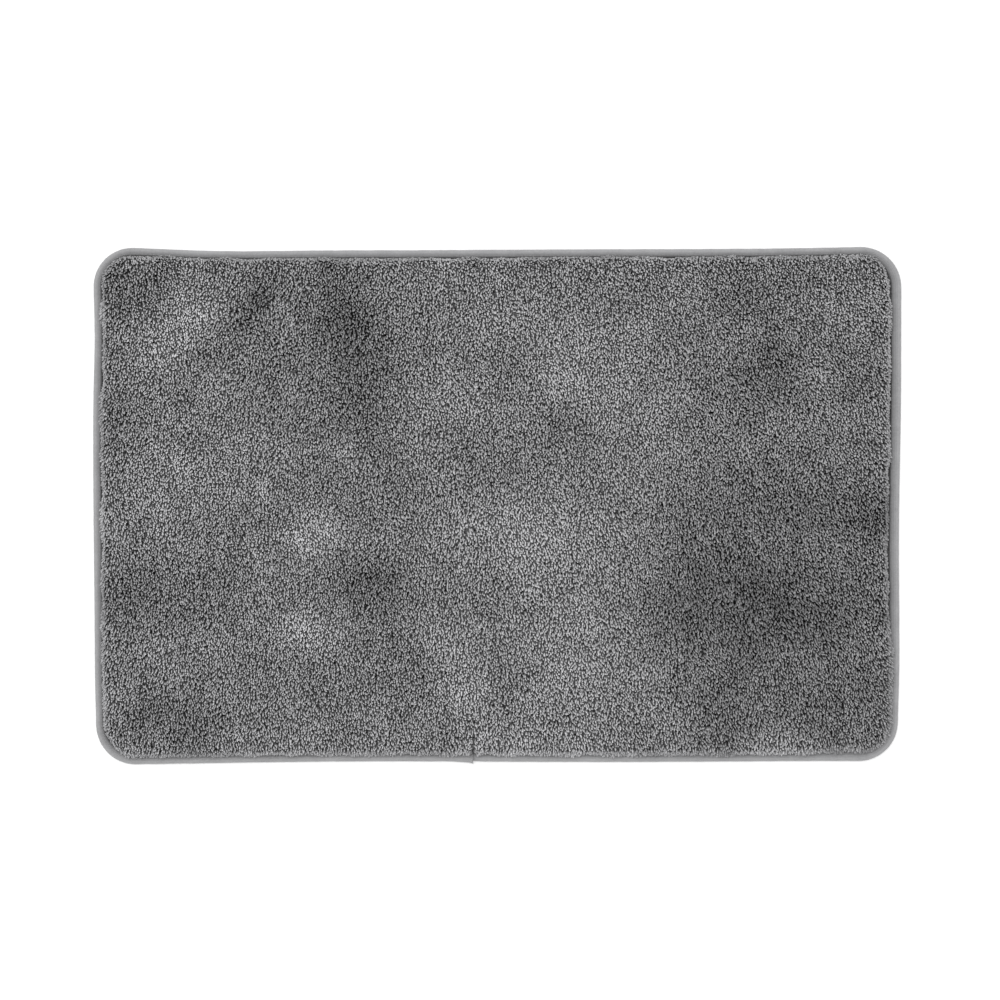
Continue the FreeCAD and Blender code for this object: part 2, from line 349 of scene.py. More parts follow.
def corner_stretch(sign_x, sign_y):
    """Length and point-and-inward function of one round corner, walked counterclockwise."""
    full = math.pi / 2 + BOW_HALF_ANGLE
    forward = sign_x * sign_y > 0

    def walk(share):
        angle = full * share if forward else full * (1 - share)
        outward = np.stack([sign_x * np.cos(angle), sign_y * np.sin(angle)], axis=-1)
        centre = np.array([sign_x * CORNER_X, sign_y * CORNER_Y])
        return centre + CORNER_RADIUS * outward, -outward

    return full * CORNER_RADIUS, walk


def long_stretch(sign_y):
    """Length and point-and-inward function of one bowed long edge, walked counterclockwise."""

    def walk(share):
        angle = BOW_HALF_ANGLE * (1 - 2 * share) * sign_y
        towards = np.stack([np.sin(angle), -sign_y * np.cos(angle)], axis=-1)
        centre = np.array([0.0, sign_y * BOW_CENTRE_Y])
        return centre + BOW_RADIUS * towards, towards

    return 2 * BOW_HALF_ANGLE * BOW_RADIUS, walk


def short_stretch(sign_x):
    """Length and point-and-inward function of one straight short edge, walked counterclockwise."""

    def walk(share):
        y = sign_x * CORNER_Y * (2 * share - 1)
        points = np.stack([np.full_like(share, sign_x * HALF_LENGTH), y], axis=-1)
        inward = np.tile([-float(sign_x), 0.0], (len(share), 1))
        return points, inward

    return 2 * CORNER_Y, walk


OUTLINE = [corner_stretch(1, -1), short_stretch(1), corner_stretch(1, 1), long_stretch(1),
           corner_stretch(-1, 1), short_stretch(-1), corner_stretch(-1, -1), long_stretch(-1)]
OUTLINE_LENGTH = sum(length for length, walk in OUTLINE)


def along_outline(distances):
    """Points of the mat's outline and its inward directions, at distances walked along it."""
    distances = np.mod(np.asarray(distances, float), OUTLINE_LENGTH)
    points = np.zeros((len(distances), 2))
    inward = np.zeros((len(distances), 2))
    start = 0.0
    for length, walk in OUTLINE:
        here = (distances >= start) & (distances <= start + length)
        if here.any():
            points[here], inward[here] = walk((distances[here] - start) / length)
        start += length
    return points, inward


def join_distance():
    """How far along the outline the end of the binding lies."""
    before = OUTLINE_LENGTH - OUTLINE[-1][0]
    share = 0.5 * (1 + math.asin(JOIN_X / BOW_RADIUS) / BOW_HALF_ANGLE)
    return before + share * OUTLINE[-1][0]


# ---- node helpers ---------------------------------------------------------

class Value:
    """An output socket that ordinary arithmetic turns into Math or Vector Math nodes."""

    def __init__(self, graph, socket):
        self.graph = graph
        self.socket = socket

    def sibling(self, name):
        """Another output of the same node."""
        outputs = self.socket.node.outputs
        return Value(self.graph, next(s for s in outputs if s.name == name and s.enabled))

    def __add__(self, other):
        return self.graph.arithmetic("ADD", self, other)

    def __radd__(self, other):
        return self.graph.arithmetic("ADD", other, self)

    def __sub__(self, other):
        return self.graph.arithmetic("SUBTRACT", self, other)

    def __rsub__(self, other):
        return self.graph.arithmetic("SUBTRACT", other, self)

    def __mul__(self, other):
        return self.graph.arithmetic("MULTIPLY", self, other)

    def __rmul__(self, other):
        return self.graph.arithmetic("MULTIPLY", other, self)

    def __truediv__(self, other):
        return self.graph.arithmetic("DIVIDE", self, other)

    def __rtruediv__(self, other):
        return self.graph.arithmetic("DIVIDE", other, self)

    def __pow__(self, other):
        return self.graph.arithmetic("POWER", self, other)


class Graph:
    """Adds nodes to a shader or geometry tree."""

    def __init__(self, tree):
        self.tree = tree

    def socket(self, sockets, name):
        if isinstance(name, int):
            return sockets[name]
        return next(s for s in sockets if s.name == name and s.enabled)

    def feed(self, socket, value):
        """Link a socket to a value, or to each of a list of them, or set it to a plain number or colour."""
        if isinstance(value, Value):
            self.tree.links.new(value.socket, socket)
        elif isinstance(value, list):
            for part in value:
                self.feed(socket, part)
        elif isinstance(value, tuple) and len(value) == 3 and socket.type == "RGBA":
            socket.default_value = (*value, 1.0)
        else:
            socket.default_value = value

    def add(self, kind, settings=None, inputs=None):
        """A node of this type, with its settings made first and then its sockets fed."""
        node = self.tree.nodes.new(kind)
        for name, value in (settings or {}).items():
            setattr(node, name, value)
        for name, value in (inputs or {}).items():
            self.feed(self.socket(node.inputs, name), value)
        shown = [s for s in node.outputs if s.enabled]
        return Value(self, shown[0]) if shown else node

    def is_vector(self, value):
        if isinstance(value, Value):
            return value.socket.type == "VECTOR"
        return isinstance(value, (tuple, Vector))

    def arithmetic(self, operation, a, b):
        if not (self.is_vector(a) or self.is_vector(b)):
            return self.add("ShaderNodeMath", {"operation": operation}, {0: a, 1: b})
        if operation == "MULTIPLY" and not (self.is_vector(a) and self.is_vector(b)):
            vector, number = (a, b) if self.is_vector(a) else (b, a)
            inputs = {0: vector, "Scale": number}
            return self.add("ShaderNodeVectorMath", {"operation": "SCALE"}, inputs)
        return self.add("ShaderNodeVectorMath", {"operation": operation}, {0: a, 1: b})

    def maths(self, operation, *values, clamp=False):
        settings = {"operation": operation, "use_clamp": clamp}
        return self.add("ShaderNodeMath", settings, dict(enumerate(values)))

    def clamped(self, value):
        """The value, kept between 0 and 1."""
        return self.maths("ADD", value, 0.0, clamp=True)

    def wave(self, distance, pitch, kind="SINE"):
        """A number from 0 to 1 that swings once in every pitch."""
        return 0.5 + 0.5 * self.maths(kind, distance * (2 * math.pi / pitch))

    def vector_maths(self, operation, *values):
        return self.add("ShaderNodeVectorMath", {"operation": operation}, dict(enumerate(values)))

    def combine(self, x, y, z):
        return self.add("ShaderNodeCombineXYZ", None, {"X": x, "Y": y, "Z": z})

    def separate(self, vector):
        x = self.add("ShaderNodeSeparateXYZ", None, {"Vector": vector})
        return x, x.sibling("Y"), x.sibling("Z")

    def ramp(self, value, low, high):
        """0 below low, 1 above high and an even rise between."""
        inputs = {"Value": value, "From Min": low, "From Max": high}
        return self.add("ShaderNodeMapRange", None, inputs)

    def mix_colours(self, factor, a, b, blend="MIX"):
        settings = {"data_type": "RGBA", "blend_type": blend}
        return self.add("ShaderNodeMix", settings, {"Factor": factor, "A": a, "B": b})

    def noise(self, vector, scale, detail=2.0, roughness=0.5):
        inputs = {"Vector": vector, "Scale": scale, "Detail": detail, "Roughness": roughness}
        return self.add("ShaderNodeTexNoise", None, inputs)


class MaterialGraph(Graph):
    """A new material with one Principled shader, which is what the pieces' finishes share."""

    def __init__(self, name):
        self.material = bpy.data.materials.new(name)
        self.material.use_nodes = True
        super().__init__(self.material.node_tree)
        self.shader = next(n for n in self.tree.nodes if n.type == "BSDF_PRINCIPLED")

    def object_place(self):
        return self.add("ShaderNodeTexCoord").sibling("Object")

    def attribute(self, name):
        return self.add("ShaderNodeAttribute", {"attribute_name": name}).sibling("Fac")

    def bump(self, height, distance, strength=1.0):
        inputs = {"Height": height, "Distance": distance, "Strength": strength}
        return self.add("ShaderNodeBump", None, inputs)

    def shaded(self, colour, shade):
        """This colour, made lighter or darker by a number that changes over the surface."""
        return self.mix_colours(1.0, tuple(colour), self.combine(shade, shade, shade), "MULTIPLY")

    def finish(self, **sockets):
        for name, value in sockets.items():
            self.feed(self.shader.inputs[name.replace("_", " ")], value)
        return self.material


class PieceGraph(Graph):
    """A geometry tree with named inputs, which turns a piece's mesh into the finished one."""

    def __init__(self, name, inputs):
        tree = bpy.data.node_groups.new(name, "GeometryNodeTree")
        super().__init__(tree)
        tree.interface.new_socket("Geometry", in_out="INPUT", socket_type="NodeSocketGeometry")
        for label, kind in inputs.items():
            tree.interface.new_socket(label, in_out="INPUT", socket_type="NodeSocket" + kind)
        tree.interface.new_socket("Geometry", in_out="OUTPUT", socket_type="NodeSocketGeometry")
        self.group_input = self.add("NodeGroupInput")

    def given(self, name="Geometry"):
        return self.group_input.sibling(name)

    def named(self, name, kind="FLOAT"):
        return self.add("GeometryNodeInputNamedAttribute", {"data_type": kind}, {"Name": name})

    def store(self, geometry, name, value, kind="FLOAT", domain="POINT"):
        settings = {"data_type": kind, "domain": domain}
        inputs = {"Geometry": geometry, "Name": name, "Value": value}
        return self.add("GeometryNodeStoreNamedAttribute", settings, inputs)

    def random(self, low, high, seed):
        inputs = {"Min": low, "Max": high, "Seed": seed}
        return self.add("FunctionNodeRandomValue", {"data_type": "FLOAT"}, inputs)

    def cell_columns(self, count):
        """How many cells fit along each side of the bake map, for this many repeats."""
        return self.maths("CEIL", self.maths("SQRT", count))

    def map_cells(self, geometry, columns, u, v):
        """Give each repeat its own cell of the bake map, from its stored number and its own u and v."""
        cell = self.named("cell")
        column, row = self.maths("MODULO", cell, columns), self.maths("FLOOR", cell / columns)
        inner = 1 - 2 * CELL_MARGIN
        place = self.combine((column + CELL_MARGIN + u * inner) / columns,
                             (row + CELL_MARGIN + v * inner) / columns, 0.0)
        return self.store(geometry, "OFBake", place, "FLOAT2", "CORNER")

    def deliver(self, geometry, material):
        """End the tree in Realize Instances and Set Material."""
        realized = self.add("GeometryNodeRealizeInstances", None, {"Geometry": geometry})
        smooth = self.add("GeometryNodeSetShadeSmooth", None, {"Geometry": realized})
        dressed = self.add("GeometryNodeSetMaterial", None, {"Geometry": smooth, "Material": material})
        self.output(dressed)

    def output(self, geometry):
        self.add("NodeGroupOutput", None, {"Geometry": geometry})


def input_identifier(tree, name):
    return next(i.identifier for i in tree.interface.items_tree if i.in_out == "INPUT" and i.name == name)


def evaluated_mesh(piece, name):
    graph = bpy.context.evaluated_depsgraph_get()
    mesh = bpy.data.meshes.new_from_object(piece.evaluated_get(graph), preserve_all_data_layers=True,
                                           depsgraph=graph)
    mesh.name = name
    return mesh


def grow(piece, tree, inputs):
    """Run a geometry tree on a piece and keep its result as the piece's plain mesh."""
    modifier = piece.modifiers.new("Growth", "NODES")
    modifier.node_group = tree
    for name, value in inputs.items():
        modifier[input_identifier(tree, name)] = value
    grown = evaluated_mesh(piece, piece.name)
    piece.modifiers.remove(modifier)
    old = piece.data
    piece.data = grown
    bpy.data.meshes.remove(old)


# ---- mesh helpers ---------------------------------------------------------

def new_piece(name, mesh, material=None):
    piece = bpy.data.objects.new(name, mesh)
    bpy.context.scene.collection.objects.link(piece)
    if material:
        mesh.materials.append(material)
    return piece


def quads_between(rings, count):
    """Corner indices of the quads between neighbouring closed rings of this many points."""
    ring, step = np.meshgrid(np.arange(rings - 1), np.arange(count), indexing="ij")
    here, there = ring * count, (ring + 1) * count
    after = (step + 1) % count
    return np.stack([here + step, here + after, there + after, there + step], axis=-1).reshape(-1, 4)


def mesh_of_rings(name, rings):
    """A smooth mesh over closed rings of points, its doubles merged and its faces turned outwards."""
    mesh = bpy.data.meshes.new(name)
    faces = quads_between(*rings.shape[:2])
    mesh.from_pydata(rings.reshape(-1, 3).tolist(), [], faces.tolist())
    shape = bmesh.new()
    shape.from_mesh(mesh)
    bmesh.ops.remove_doubles(shape, verts=shape.verts, dist=WELD)
    bmesh.ops.recalc_face_normals(shape, faces=shape.faces)
    for face in shape.faces:
        face.smooth = True
    shape.to_mesh(mesh)
    shape.free()
    return mesh


def turn_outwards(mesh):
    shape = bmesh.new()
    shape.from_mesh(mesh)
    bmesh.ops.recalc_face_normals(shape, faces=shape.faces)
    shape.to_mesh(mesh)
    shape.free()


def places_of(mesh):
    """Places of a mesh's vertices, one row for each."""
    place = np.zeros(len(mesh.vertices) * 3, np.float32)
    mesh.vertices.foreach_get("co", place)
    return place.reshape(-1, 3)


def keep_on_points(mesh, name, values):
    """Store one number for each vertex."""
    stored = mesh.attributes.new(name, "FLOAT", "POINT")
    stored.data.foreach_set("value", np.asarray(values, np.float32))


def keep_attributes(mesh, names):
    """Drop a grown mesh's working attributes, all but these."""
    for name in [a.name for a in mesh.attributes]:
        attribute = mesh.attributes.get(name)
        own = attribute.is_internal or attribute.is_required
        if not own and name not in ("position", "material_index", "sharp_face", *names):
            mesh.attributes.remove(attribute)


def spine_under(rim):
    """For each point of a closed rim, the place on the mat's middle line that it is drawn towards."""
    reach = SPINE_SNAP * round((HALF_LENGTH - HALF_WIDTH) / SPINE_SNAP)
    x = np.clip(SPINE_SNAP * np.round(rim[:, 0] / SPINE_SNAP), -reach, reach)
    return np.column_stack([x, np.zeros(len(rim))])


def rim_of_ground():
    """Points of the outline and its inward directions, as far apart as the ground's rings need."""
    count = int(OUTLINE_LENGTH / GROUND_STEP)
    return along_outline(np.arange(count) * OUTLINE_LENGTH / count)


def wander(x, y, size, seed):
    """Smooth noise from -1 to 1 at points in metres, with features of about this size."""
    flat_x, flat_y = np.ravel(x) / size, np.ravel(y) / size
    values = [noise.noise(Vector((a, b, seed))) for a, b in zip(flat_x, flat_y)]
    return np.reshape(values, np.shape(x))


def smooth_step(value, low, high):
    """0 below low, 1 above high and a soft rise between."""
    share = np.clip((value - low) / (high - low), 0.0, 1.0)
    return share * share * (3 - 2 * share)


def side_weights(x, y, start, full):
    """0 to 1 towards the left, right, front and back: from 0 at start, in from the outline, to 1 at full."""
    return (smooth_step(-x, HALF_LENGTH - start, HALF_LENGTH - full),
            smooth_step(x, HALF_LENGTH - start, HALF_LENGTH - full),
            smooth_step(-y, HALF_WIDTH - start, HALF_WIDTH - full),
            smooth_step(y, HALF_WIDTH - start, HALF_WIDTH - full))


def settled(points):
    """The mat as it lies: a little wider along its back edge, and nowhere quite straight."""
    x, y = points[..., 0], points[..., 1]
    lying = np.array(points, float)
    lying[..., 0] = x * (1 + BACK_SPREAD * y / HALF_WIDTH)
    lying[..., 0] += EDGE_WAVER * np.sin(y * SHORT_EDGE_RATE + SHORT_EDGE_START) * x / HALF_LENGTH
    lying[..., 1] += EDGE_WAVER * np.sin(x * LONG_EDGE_RATE + LONG_EDGE_START) * y / HALF_WIDTH
    for (side_x, side_y), middle, half, offset in EDGE_OFFSETS:
        towards = np.clip(side_x * x / HALF_LENGTH + side_y * y / HALF_WIDTH, 0, 1) ** 3
        along, axis = (y, 0) if side_x else (x, 1)
        lying[..., axis] += offset * MM * towards * np.exp(-((along / MM - middle) / half) ** 2)
    return lying


def lay_down(piece):
    """Bring a finished piece's mesh to where the mat lies."""
    mesh = piece.data
    mesh.vertices.foreach_set("co", settled(places_of(mesh)).astype(np.float32).ravel())
    mesh.update()


# ---- settings -------------------------------------------------------------

def length_setting(name, description, default, low, high):
    """A length in metres, shown in the user's units."""
    return FloatProperty(name=name, description=description, default=default, min=low, max=high,
                         unit="LENGTH", subtype="DISTANCE", precision=5)


def colour_setting(name, description, default):
    return FloatVectorProperty(name=name, description=description, default=default, min=0.0, max=1.0,
                               size=3, subtype="COLOR")


class PileSettings(PropertyGroup):
    """Sizes and colours of the cut pile"""
    ground_height: length_setting(
        "Ground height", "Top of the dense lower pile above the floor",
        PILE_HIGH.z - 6.0 * MM, 6 * MM, PILE_HIGH.z)
    edge_inset: length_setting(
        "Edge inset", "From the mat's outline to the foot of the pile", 10.2 * MM, 8 * MM, 20 * MM)
    spacing: length_setting(
        "Strand spacing", "Least distance between the roots of two strands", 1.63 * MM, 1 * MM, 8 * MM)
    rise: length_setting("Strand rise", "Height of a strand above its root", 5.7 * MM, 2 * MM, 12 * MM)
    reach: length_setting("Strand reach", "How far a strand's tip leans over", 3.0 * MM, 0, 10 * MM)
    curl: length_setting("Strand curl", "How far a strand's tip curls sideways", 0.8 * MM, 0, 6 * MM)
    width: length_setting("Strand width", "Radius of a strand at its middle", 0.81 * MM, 0.1 * MM, 2 * MM)
    lay: FloatProperty(name="Lay", description="Direction that the nap lies in, from +X", subtype="ANGLE",
                       default=math.radians(-84), min=-math.pi, max=math.pi)
    bands: IntProperty(name="Bands", description="How many bands of tuft rows the pile is split into",
                       default=9, min=1, max=20)
    root_colour: colour_setting("Root colour", "Yarn in the shade between the tufts", (0.023, 0.023, 0.0235))
    tip_colour: colour_setting("Tip colour", "Cut ends of the yarn", (0.79, 0.79, 0.806))


class BindingSettings(PropertyGroup):
    """Sizes and colour of the folded tape"""
    thickness: length_setting("Tape thickness", "One ply of the tape", 0.8 * MM, 0.3 * MM, 2 * MM)
    upper_width: length_setting("Upper width", "Tape on the pile side", 8.0 * MM, 5 * MM, 15 * MM)
    lower_width: length_setting("Lower width", "Tape on the underside", 9.4 * MM, 7 * MM, 20 * MM)
    fold_radius: length_setting(
        "Fold radius", "Outer fold of the tape round the mat's edge", 2.5 * MM, 1 * MM, 4 * MM)
    turned_width: length_setting(
        "Turned width", "Tape turned under on the pile side", 2.8 * MM, 1 * MM, 6 * MM)
    lap: length_setting("Lap", "Length of tape over tape where it is joined", LAP, 4 * MM, 40 * MM)
    pucker: length_setting("Pucker", "How deep each stitch pulls the tape in", 0.3 * MM, 0, 1 * MM)
    colour: colour_setting("Tape colour", "Woven tape", (0.335, 0.335, 0.342))


class SeamSettings(PropertyGroup):
    """Sizes and colour of the stitches"""
    pitch: length_setting("Stitch pitch", "From one stitch to the next", 4.0 * MM, 1 * MM, 10 * MM)
    gap: length_setting("Stitch gap", "Where the thread dives between two stitches", 0.5 * MM, 0, 2 * MM)
    colour: colour_setting("Thread colour", "Twisted polyester thread", (0.27, 0.27, 0.275))


class UndersideSettings(PropertyGroup):
    """Sizes and colours of the rubber and the label"""
    dot_radius: length_setting("Dot radius", "Foot of a rubber dot", 2.4 * MM, 0.5 * MM, 6 * MM)
    colour: colour_setting("Rubber colour", "Anti-slip film and dots", (0.36, 0.36, 0.355))
    label_colour: colour_setting("Label colour", "Blank satin ribbon", (0.78, 0.78, 0.765))


class StageSettings(PropertyGroup):
    """Floor and lights"""
    floor_colour: colour_setting("Floor colour", "Plain pale floor", (0.97, 0.97, 0.97))
    key_power: FloatProperty(name="Key light", description="Power of the large soft light", subtype="POWER",
                             default=95.0, min=0.0)
    sky_strength: FloatProperty(name="Sky", description="Brightness of the even light from all round",
                                default=1.0, min=0.0)


# ---- finishes -------------------------------------------------------------

def pile_yarn(settings):
    """Microfibre yarn with fine fibres: painted dark between the tufts as their shade, pale at the lit cut
    ends.
    """
    graph = MaterialGraph("Pile yarn")
    fibres = graph.noise(graph.object_place(), FIBRE_SCALE)
    tone = graph.clamped(graph.attribute("tone") * (0.82 + 0.36 * fibres))
    colour = graph.mix_colours(tone, tuple(settings.root_colour), tuple(settings.tip_colour))
    return graph.finish(Base_Color=colour, Roughness=0.82, Sheen_Weight=0.22, Sheen_Roughness=0.45,
                        Specular_IOR_Level=0.25)


def pile_ground_yarn(settings):
    """The dense lower pile, which is only seen between the strands: painted dark as the shade deep in the
    pile.
    """
    graph = MaterialGraph("Pile ground")
    tufts = graph.noise(graph.object_place(), TUFT_SCALE, detail=3.0)
    # painted nap shade: the lower pile is made lighter or darker with the nap's patches
    clumps = tufts * 3.4 - 1.25 + 3.0 * graph.attribute("nap")
    dark = tuple(GROUND_DARK * part for part in settings.root_colour)
    light = tuple(GROUND_LIGHT * part for part in settings.tip_colour)
    colour = graph.mix_colours(graph.clamped(clumps), dark, light)
    normal = graph.bump(clumps, distance=1.2 * MM)
    return graph.finish(Base_Color=colour, Roughness=0.95, Specular_IOR_Level=0.1, Normal=normal)


def woven(graph, u, v, thread):
    """Height from 0 to 1 of a plain weave with this distance between threads."""
    over = graph.maths("SINE", u * (math.pi / thread))
    under = graph.maths("SINE", v * (math.pi / thread))
    return 0.5 + 0.5 * over * under


def binding_tape(settings):
    """Polyester tape: fine plain weave with a few raised lengthwise ribs, and painted shade of the pile along
    its inner side.
    """
    graph = MaterialGraph("Binding tape")
    along, across = graph.attribute("along"), graph.attribute("across")
    weave = woven(graph, along, across, TAPE_THREAD)
    ribs = graph.wave(across, TAPE_RIB, "COSINE")
    place = graph.object_place()
    mottle = graph.noise(place, scale=70.0, detail=4.0)
    wear = graph.noise(place, scale=640.0)
    shade = 0.76 + 0.12 * weave + 0.10 * ribs + 0.3 * (mottle - 0.5) + 0.3 * (wear - 0.5)
    # painted shade: the tape darkens towards its inner side, where the pile overhangs it
    past_fold = across - settings.lower_width
    shade = shade * (1.0 - PILE_SHADE * graph.ramp(past_fold, PILE_SHADE_START, PILE_SHADE_FULL))
    colour = graph.shaded(settings.colour, shade)
    normal = graph.bump(weave * 0.6 + ribs * 0.4, distance=0.16 * MM, strength=0.8)
    return graph.finish(Base_Color=colour, Roughness=0.78, Sheen_Weight=0.2, Sheen_Roughness=0.5,
                        Specular_IOR_Level=0.3, Normal=normal)


def seam_thread(settings):
    """Three-ply polyester thread, with its twist."""
    graph = MaterialGraph("Seam thread")
    x, y, z = graph.separate(graph.object_place())
    twist = graph.wave(x + y + z, TWIST_PITCH)
    colour = graph.shaded(settings.colour, 0.7 + 0.45 * twist)
    normal = graph.bump(twist, distance=0.06 * MM)
    return graph.finish(Base_Color=colour, Roughness=0.55, Sheen_Weight=0.15, Normal=normal)


def grip_rubber_finish(settings):
    """Cast rubber: slightly mottled, with the felt's texture printed through it."""
    graph = MaterialGraph("Grip rubber")
    place = graph.object_place()
    mottle = graph.noise(place, scale=26.0, detail=4.0)
    grain = graph.noise(place, scale=1400.0)
    shade = 0.88 + 0.16 * mottle + 0.10 * (grain - 0.5)
    colour = graph.shaded(settings.colour, shade)
    roughness = 0.46 + 0.2 * mottle
    normal = graph.bump(grain, distance=0.12 * MM, strength=0.7)
    return graph.finish(Base_Color=colour, Roughness=roughness, Specular_IOR_Level=0.4, Normal=normal)


def label_satin(settings):
    """Blank satin ribbon with fine crosswise floats."""
    graph = MaterialGraph("Label satin")
    floats = graph.wave(graph.attribute("along"), SATIN_FLOAT)
    colour = graph.shaded(settings.label_colour, 0.93 + 0.07 * floats)
    normal = graph.bump(floats, distance=0.03 * MM)
    return graph.finish(Base_Color=colour, Roughness=0.38, Sheen_Weight=0.1, Normal=normal)


def cloth_finish(name, colour, thread):
    """A plain-woven backing cloth, seen only when the mat is taken apart."""
    graph = MaterialGraph(name)
    weave = woven(graph, *graph.separate(graph.object_place())[:2], thread)
    mixed = graph.shaded(colour, 0.7 + 0.4 * weave)
    return graph.finish(Base_Color=mixed, Roughness=0.9, Normal=graph.bump(weave, distance=0.2 * MM))


def mottled_finish(name, colour, scale, roughness, bump_height):
    """A soft uneven surface, such as latex, felt or the yarn under the cloth."""
    graph = MaterialGraph(name)
    mottle = graph.noise(graph.object_place(), scale, detail=4.0)
    mixed = graph.shaded(colour, 0.75 + 0.5 * mottle)
    return graph.finish(Base_Color=mixed, Roughness=roughness, Normal=graph.bump(mottle, bump_height))


# ---- pile -----------------------------------------------------------------

def warped(value, x, y, seeds):
    """A coordinate of the nap's patches, pushed about by coarse and fine noise."""
    for (amount, size), seed in zip(NAP_WARPS, seeds):
        value = value + amount * wander(x, y, size, seed)
    return value


def painted_nap_shade_at(x, y):
    """Painted light and shade of the brushed nap: soft patches, lighter or darker where it lies towards or
    away.
    """
    x = warped(x, x, y, seeds=(11.3, 4.9))
    y = warped(y, x, y, seeds=(15.8, 9.2))
    shade = np.zeros(np.shape(x))
    for centre_x, centre_y, half_long, half_short, turn, strength in PAINTED_NAP_PATCHES:
        away_x, away_y = x - centre_x * MM, y - centre_y * MM
        cos, sin = math.cos(math.radians(turn)), math.sin(math.radians(turn))
        along, across = away_x * cos + away_y * sin, away_y * cos - away_x * sin
        reach = (along / (half_long * MM)) ** 2 + (across / (half_short * MM)) ** 2
        shade += strength * np.exp(-reach ** PATCH_FALLOFF)
    for size, seed in NAP_MOTTLES:
        shade += NAP_MOTTLE * wander(x, y, size, seed)
    return shade


def bare_stretch(x):
    """1 where the front edge shows most of its binding, near its right corner, and 0 away from it."""
    return np.exp(-((x - BARE_MIDDLE) / BARE_HALF) ** 2)


def pile_edge_drift(points):
    """The pile stops further from the edge on the right and in front, and wanders a little everywhere."""
    x, y = points[..., 0], points[..., 1]
    left, right, front, back = side_weights(x, y, DRAW_START, DRAW_FULL)
    at_right = RIGHT_EDGE_DRAW * (1 - SPILL_LESS_DRAW * smooth_step(-y, SPILL_START, SPILL_FULL))
    at_front = FRONT_EDGE_DRAW + BARE_DRAW * bare_stretch(x)
    drawn = LEFT_EDGE_DRAW * left + at_right * right + BACK_EDGE_DRAW * back + at_front * front
    drawn /= np.maximum(left + right + front + back, 1.0)
    return drawn + EDGE_WANDER * wander(x, y, EDGE_WANDER_SIZE, seed=1.7)


def overhang_at(x, y):
    """How far the outermost strands lean out over the binding: most at the back, least on the right."""
    left, right, front, back = side_weights(x, y, HANG_START, HANG_FULL)
    spilling = right * smooth_step(-y, SPILL_START, SPILL_FULL)
    hang = HANG_BACK - LEFT_LESS_HANG * left - RIGHT_LESS_HANG * right + SPILL_HANG * spilling
    hang = hang - FRONT_LESS_HANG * front + HANG_WANDER * wander(x, y, HANG_WANDER_SIZE, seed=6.1)
    return np.clip(hang, 0, MOST_HANG)


def pile_ground_mesh(settings, closed):
    """The dense lower pile: rounded sides, a nearly flat top and, if closed, its floor."""
    points, inward = rim_of_ground()
    drift = pile_edge_drift(points)
    foot, top = PILE_LOW.z, settings.ground_height
    rings = []
    for inset, share in GROUND_SIDE:
        flat = points + inward * (settings.edge_inset + inset * MM + drift)[:, None]
        rings.append(np.column_stack([flat, np.full(len(flat), foot + share * (top - foot))]))
    first, last = rings[0], rings[-1]
    spine = spine_under(last)
    upper_spine = np.column_stack([spine, np.full(len(spine), top)])
    for share in np.linspace(0, 1, GROUND_RINGS + 1)[1:]:
        rings.append(last + share * (upper_spine - last))
    if closed:
        lower_spine = np.column_stack([spine, np.full(len(spine), foot)])
        for share in np.linspace(0, 1, FLOOR_RINGS + 1)[1:]:
            rings.insert(0, first + share * (lower_spine - first))
    rings = np.array(rings)
    on_top = rings[..., 2] > foot + TOP_SHARE * (top - foot)
    rings[..., 2] += on_top * TOP_WAVER * wander(rings[..., 0], rings[..., 1], TOP_WAVER_SIZE, seed=5.3)
    mesh = mesh_of_rings("pile_ground", settled(rings))
    # without its floor the shell can come out facing down, and the strands would grow into it
    if not closed and sum(p.normal.z * p.area for p in mesh.polygons) < 0:
        mesh.flip_normals()
    x, y = places_of(mesh)[:, :2].T
    for name, measure in (("nap", painted_nap_shade_at), ("overhang", overhang_at)):
        keep_on_points(mesh, name, measure(x, y))
    return mesh


def root_scatter_tree():
    """Evenly spaced roots over the ground and a second lot on its side, each with the ground's normal."""
    graph = PieceGraph("Pile roots", {"Spacing": "Float", "Seed": "Int"})
    slope = graph.separate(graph.add("GeometryNodeInputNormal"))[2]
    wall = graph.add("GeometryNodeDeleteGeometry", {"domain": "FACE"}, {
        "Geometry": graph.given(), "Selection": graph.maths("GREATER_THAN", slope, WALL_SLOPE)})

    def scattered(surface, seed):
        points = graph.add("GeometryNodeDistributePointsOnFaces", {"distribute_method": "POISSON"}, {
            "Mesh": surface, "Distance Min": graph.given("Spacing"), "Density Max": ROOT_DENSITY,
            "Seed": seed})
        kept = graph.store(points, "facing", points.sibling("Normal"), "FLOAT_VECTOR")
        return graph.add("GeometryNodePointsToVertices", None, {"Points": kept})

    on_wall = scattered(wall, graph.given("Seed") + 1)
    everywhere = scattered(graph.given(), graph.given("Seed"))
    graph.output(graph.add("GeometryNodeJoinGeometry", None, {"Geometry": [on_wall, everywhere]}))
    return graph.tree


def strand_prototype(graph):
    """A three-sided tapering strand, closed at both ends, with its height share and ring direction stored."""
    cone = graph.add("GeometryNodeMeshCone", {"fill_type": "TRIANGLE_FAN"}, {
        "Vertices": 3, "Side Segments": 3, "Fill Segments": 1,
        "Radius Top": 0.0, "Radius Bottom": 1.0, "Depth": 1.0})
    x, y, height = graph.separate(graph.add("GeometryNodeInputPosition"))
    flat = graph.combine(x, y, 0.0)
    on_axis = graph.maths("LESS_THAN", graph.vector_maths("LENGTH", flat), NEAR_ZERO)
    on_floor = graph.maths("LESS_THAN", height, NEAR_ZERO)
    share = 1.0 - (1.0 - height) ** TIP_BUNCH - BASE_DROP * on_axis * on_floor
    stored = graph.store(cone, "share", share)
    return graph.store(stored, "ring", graph.vector_maths("NORMALIZE", flat), "FLOAT_VECTOR")


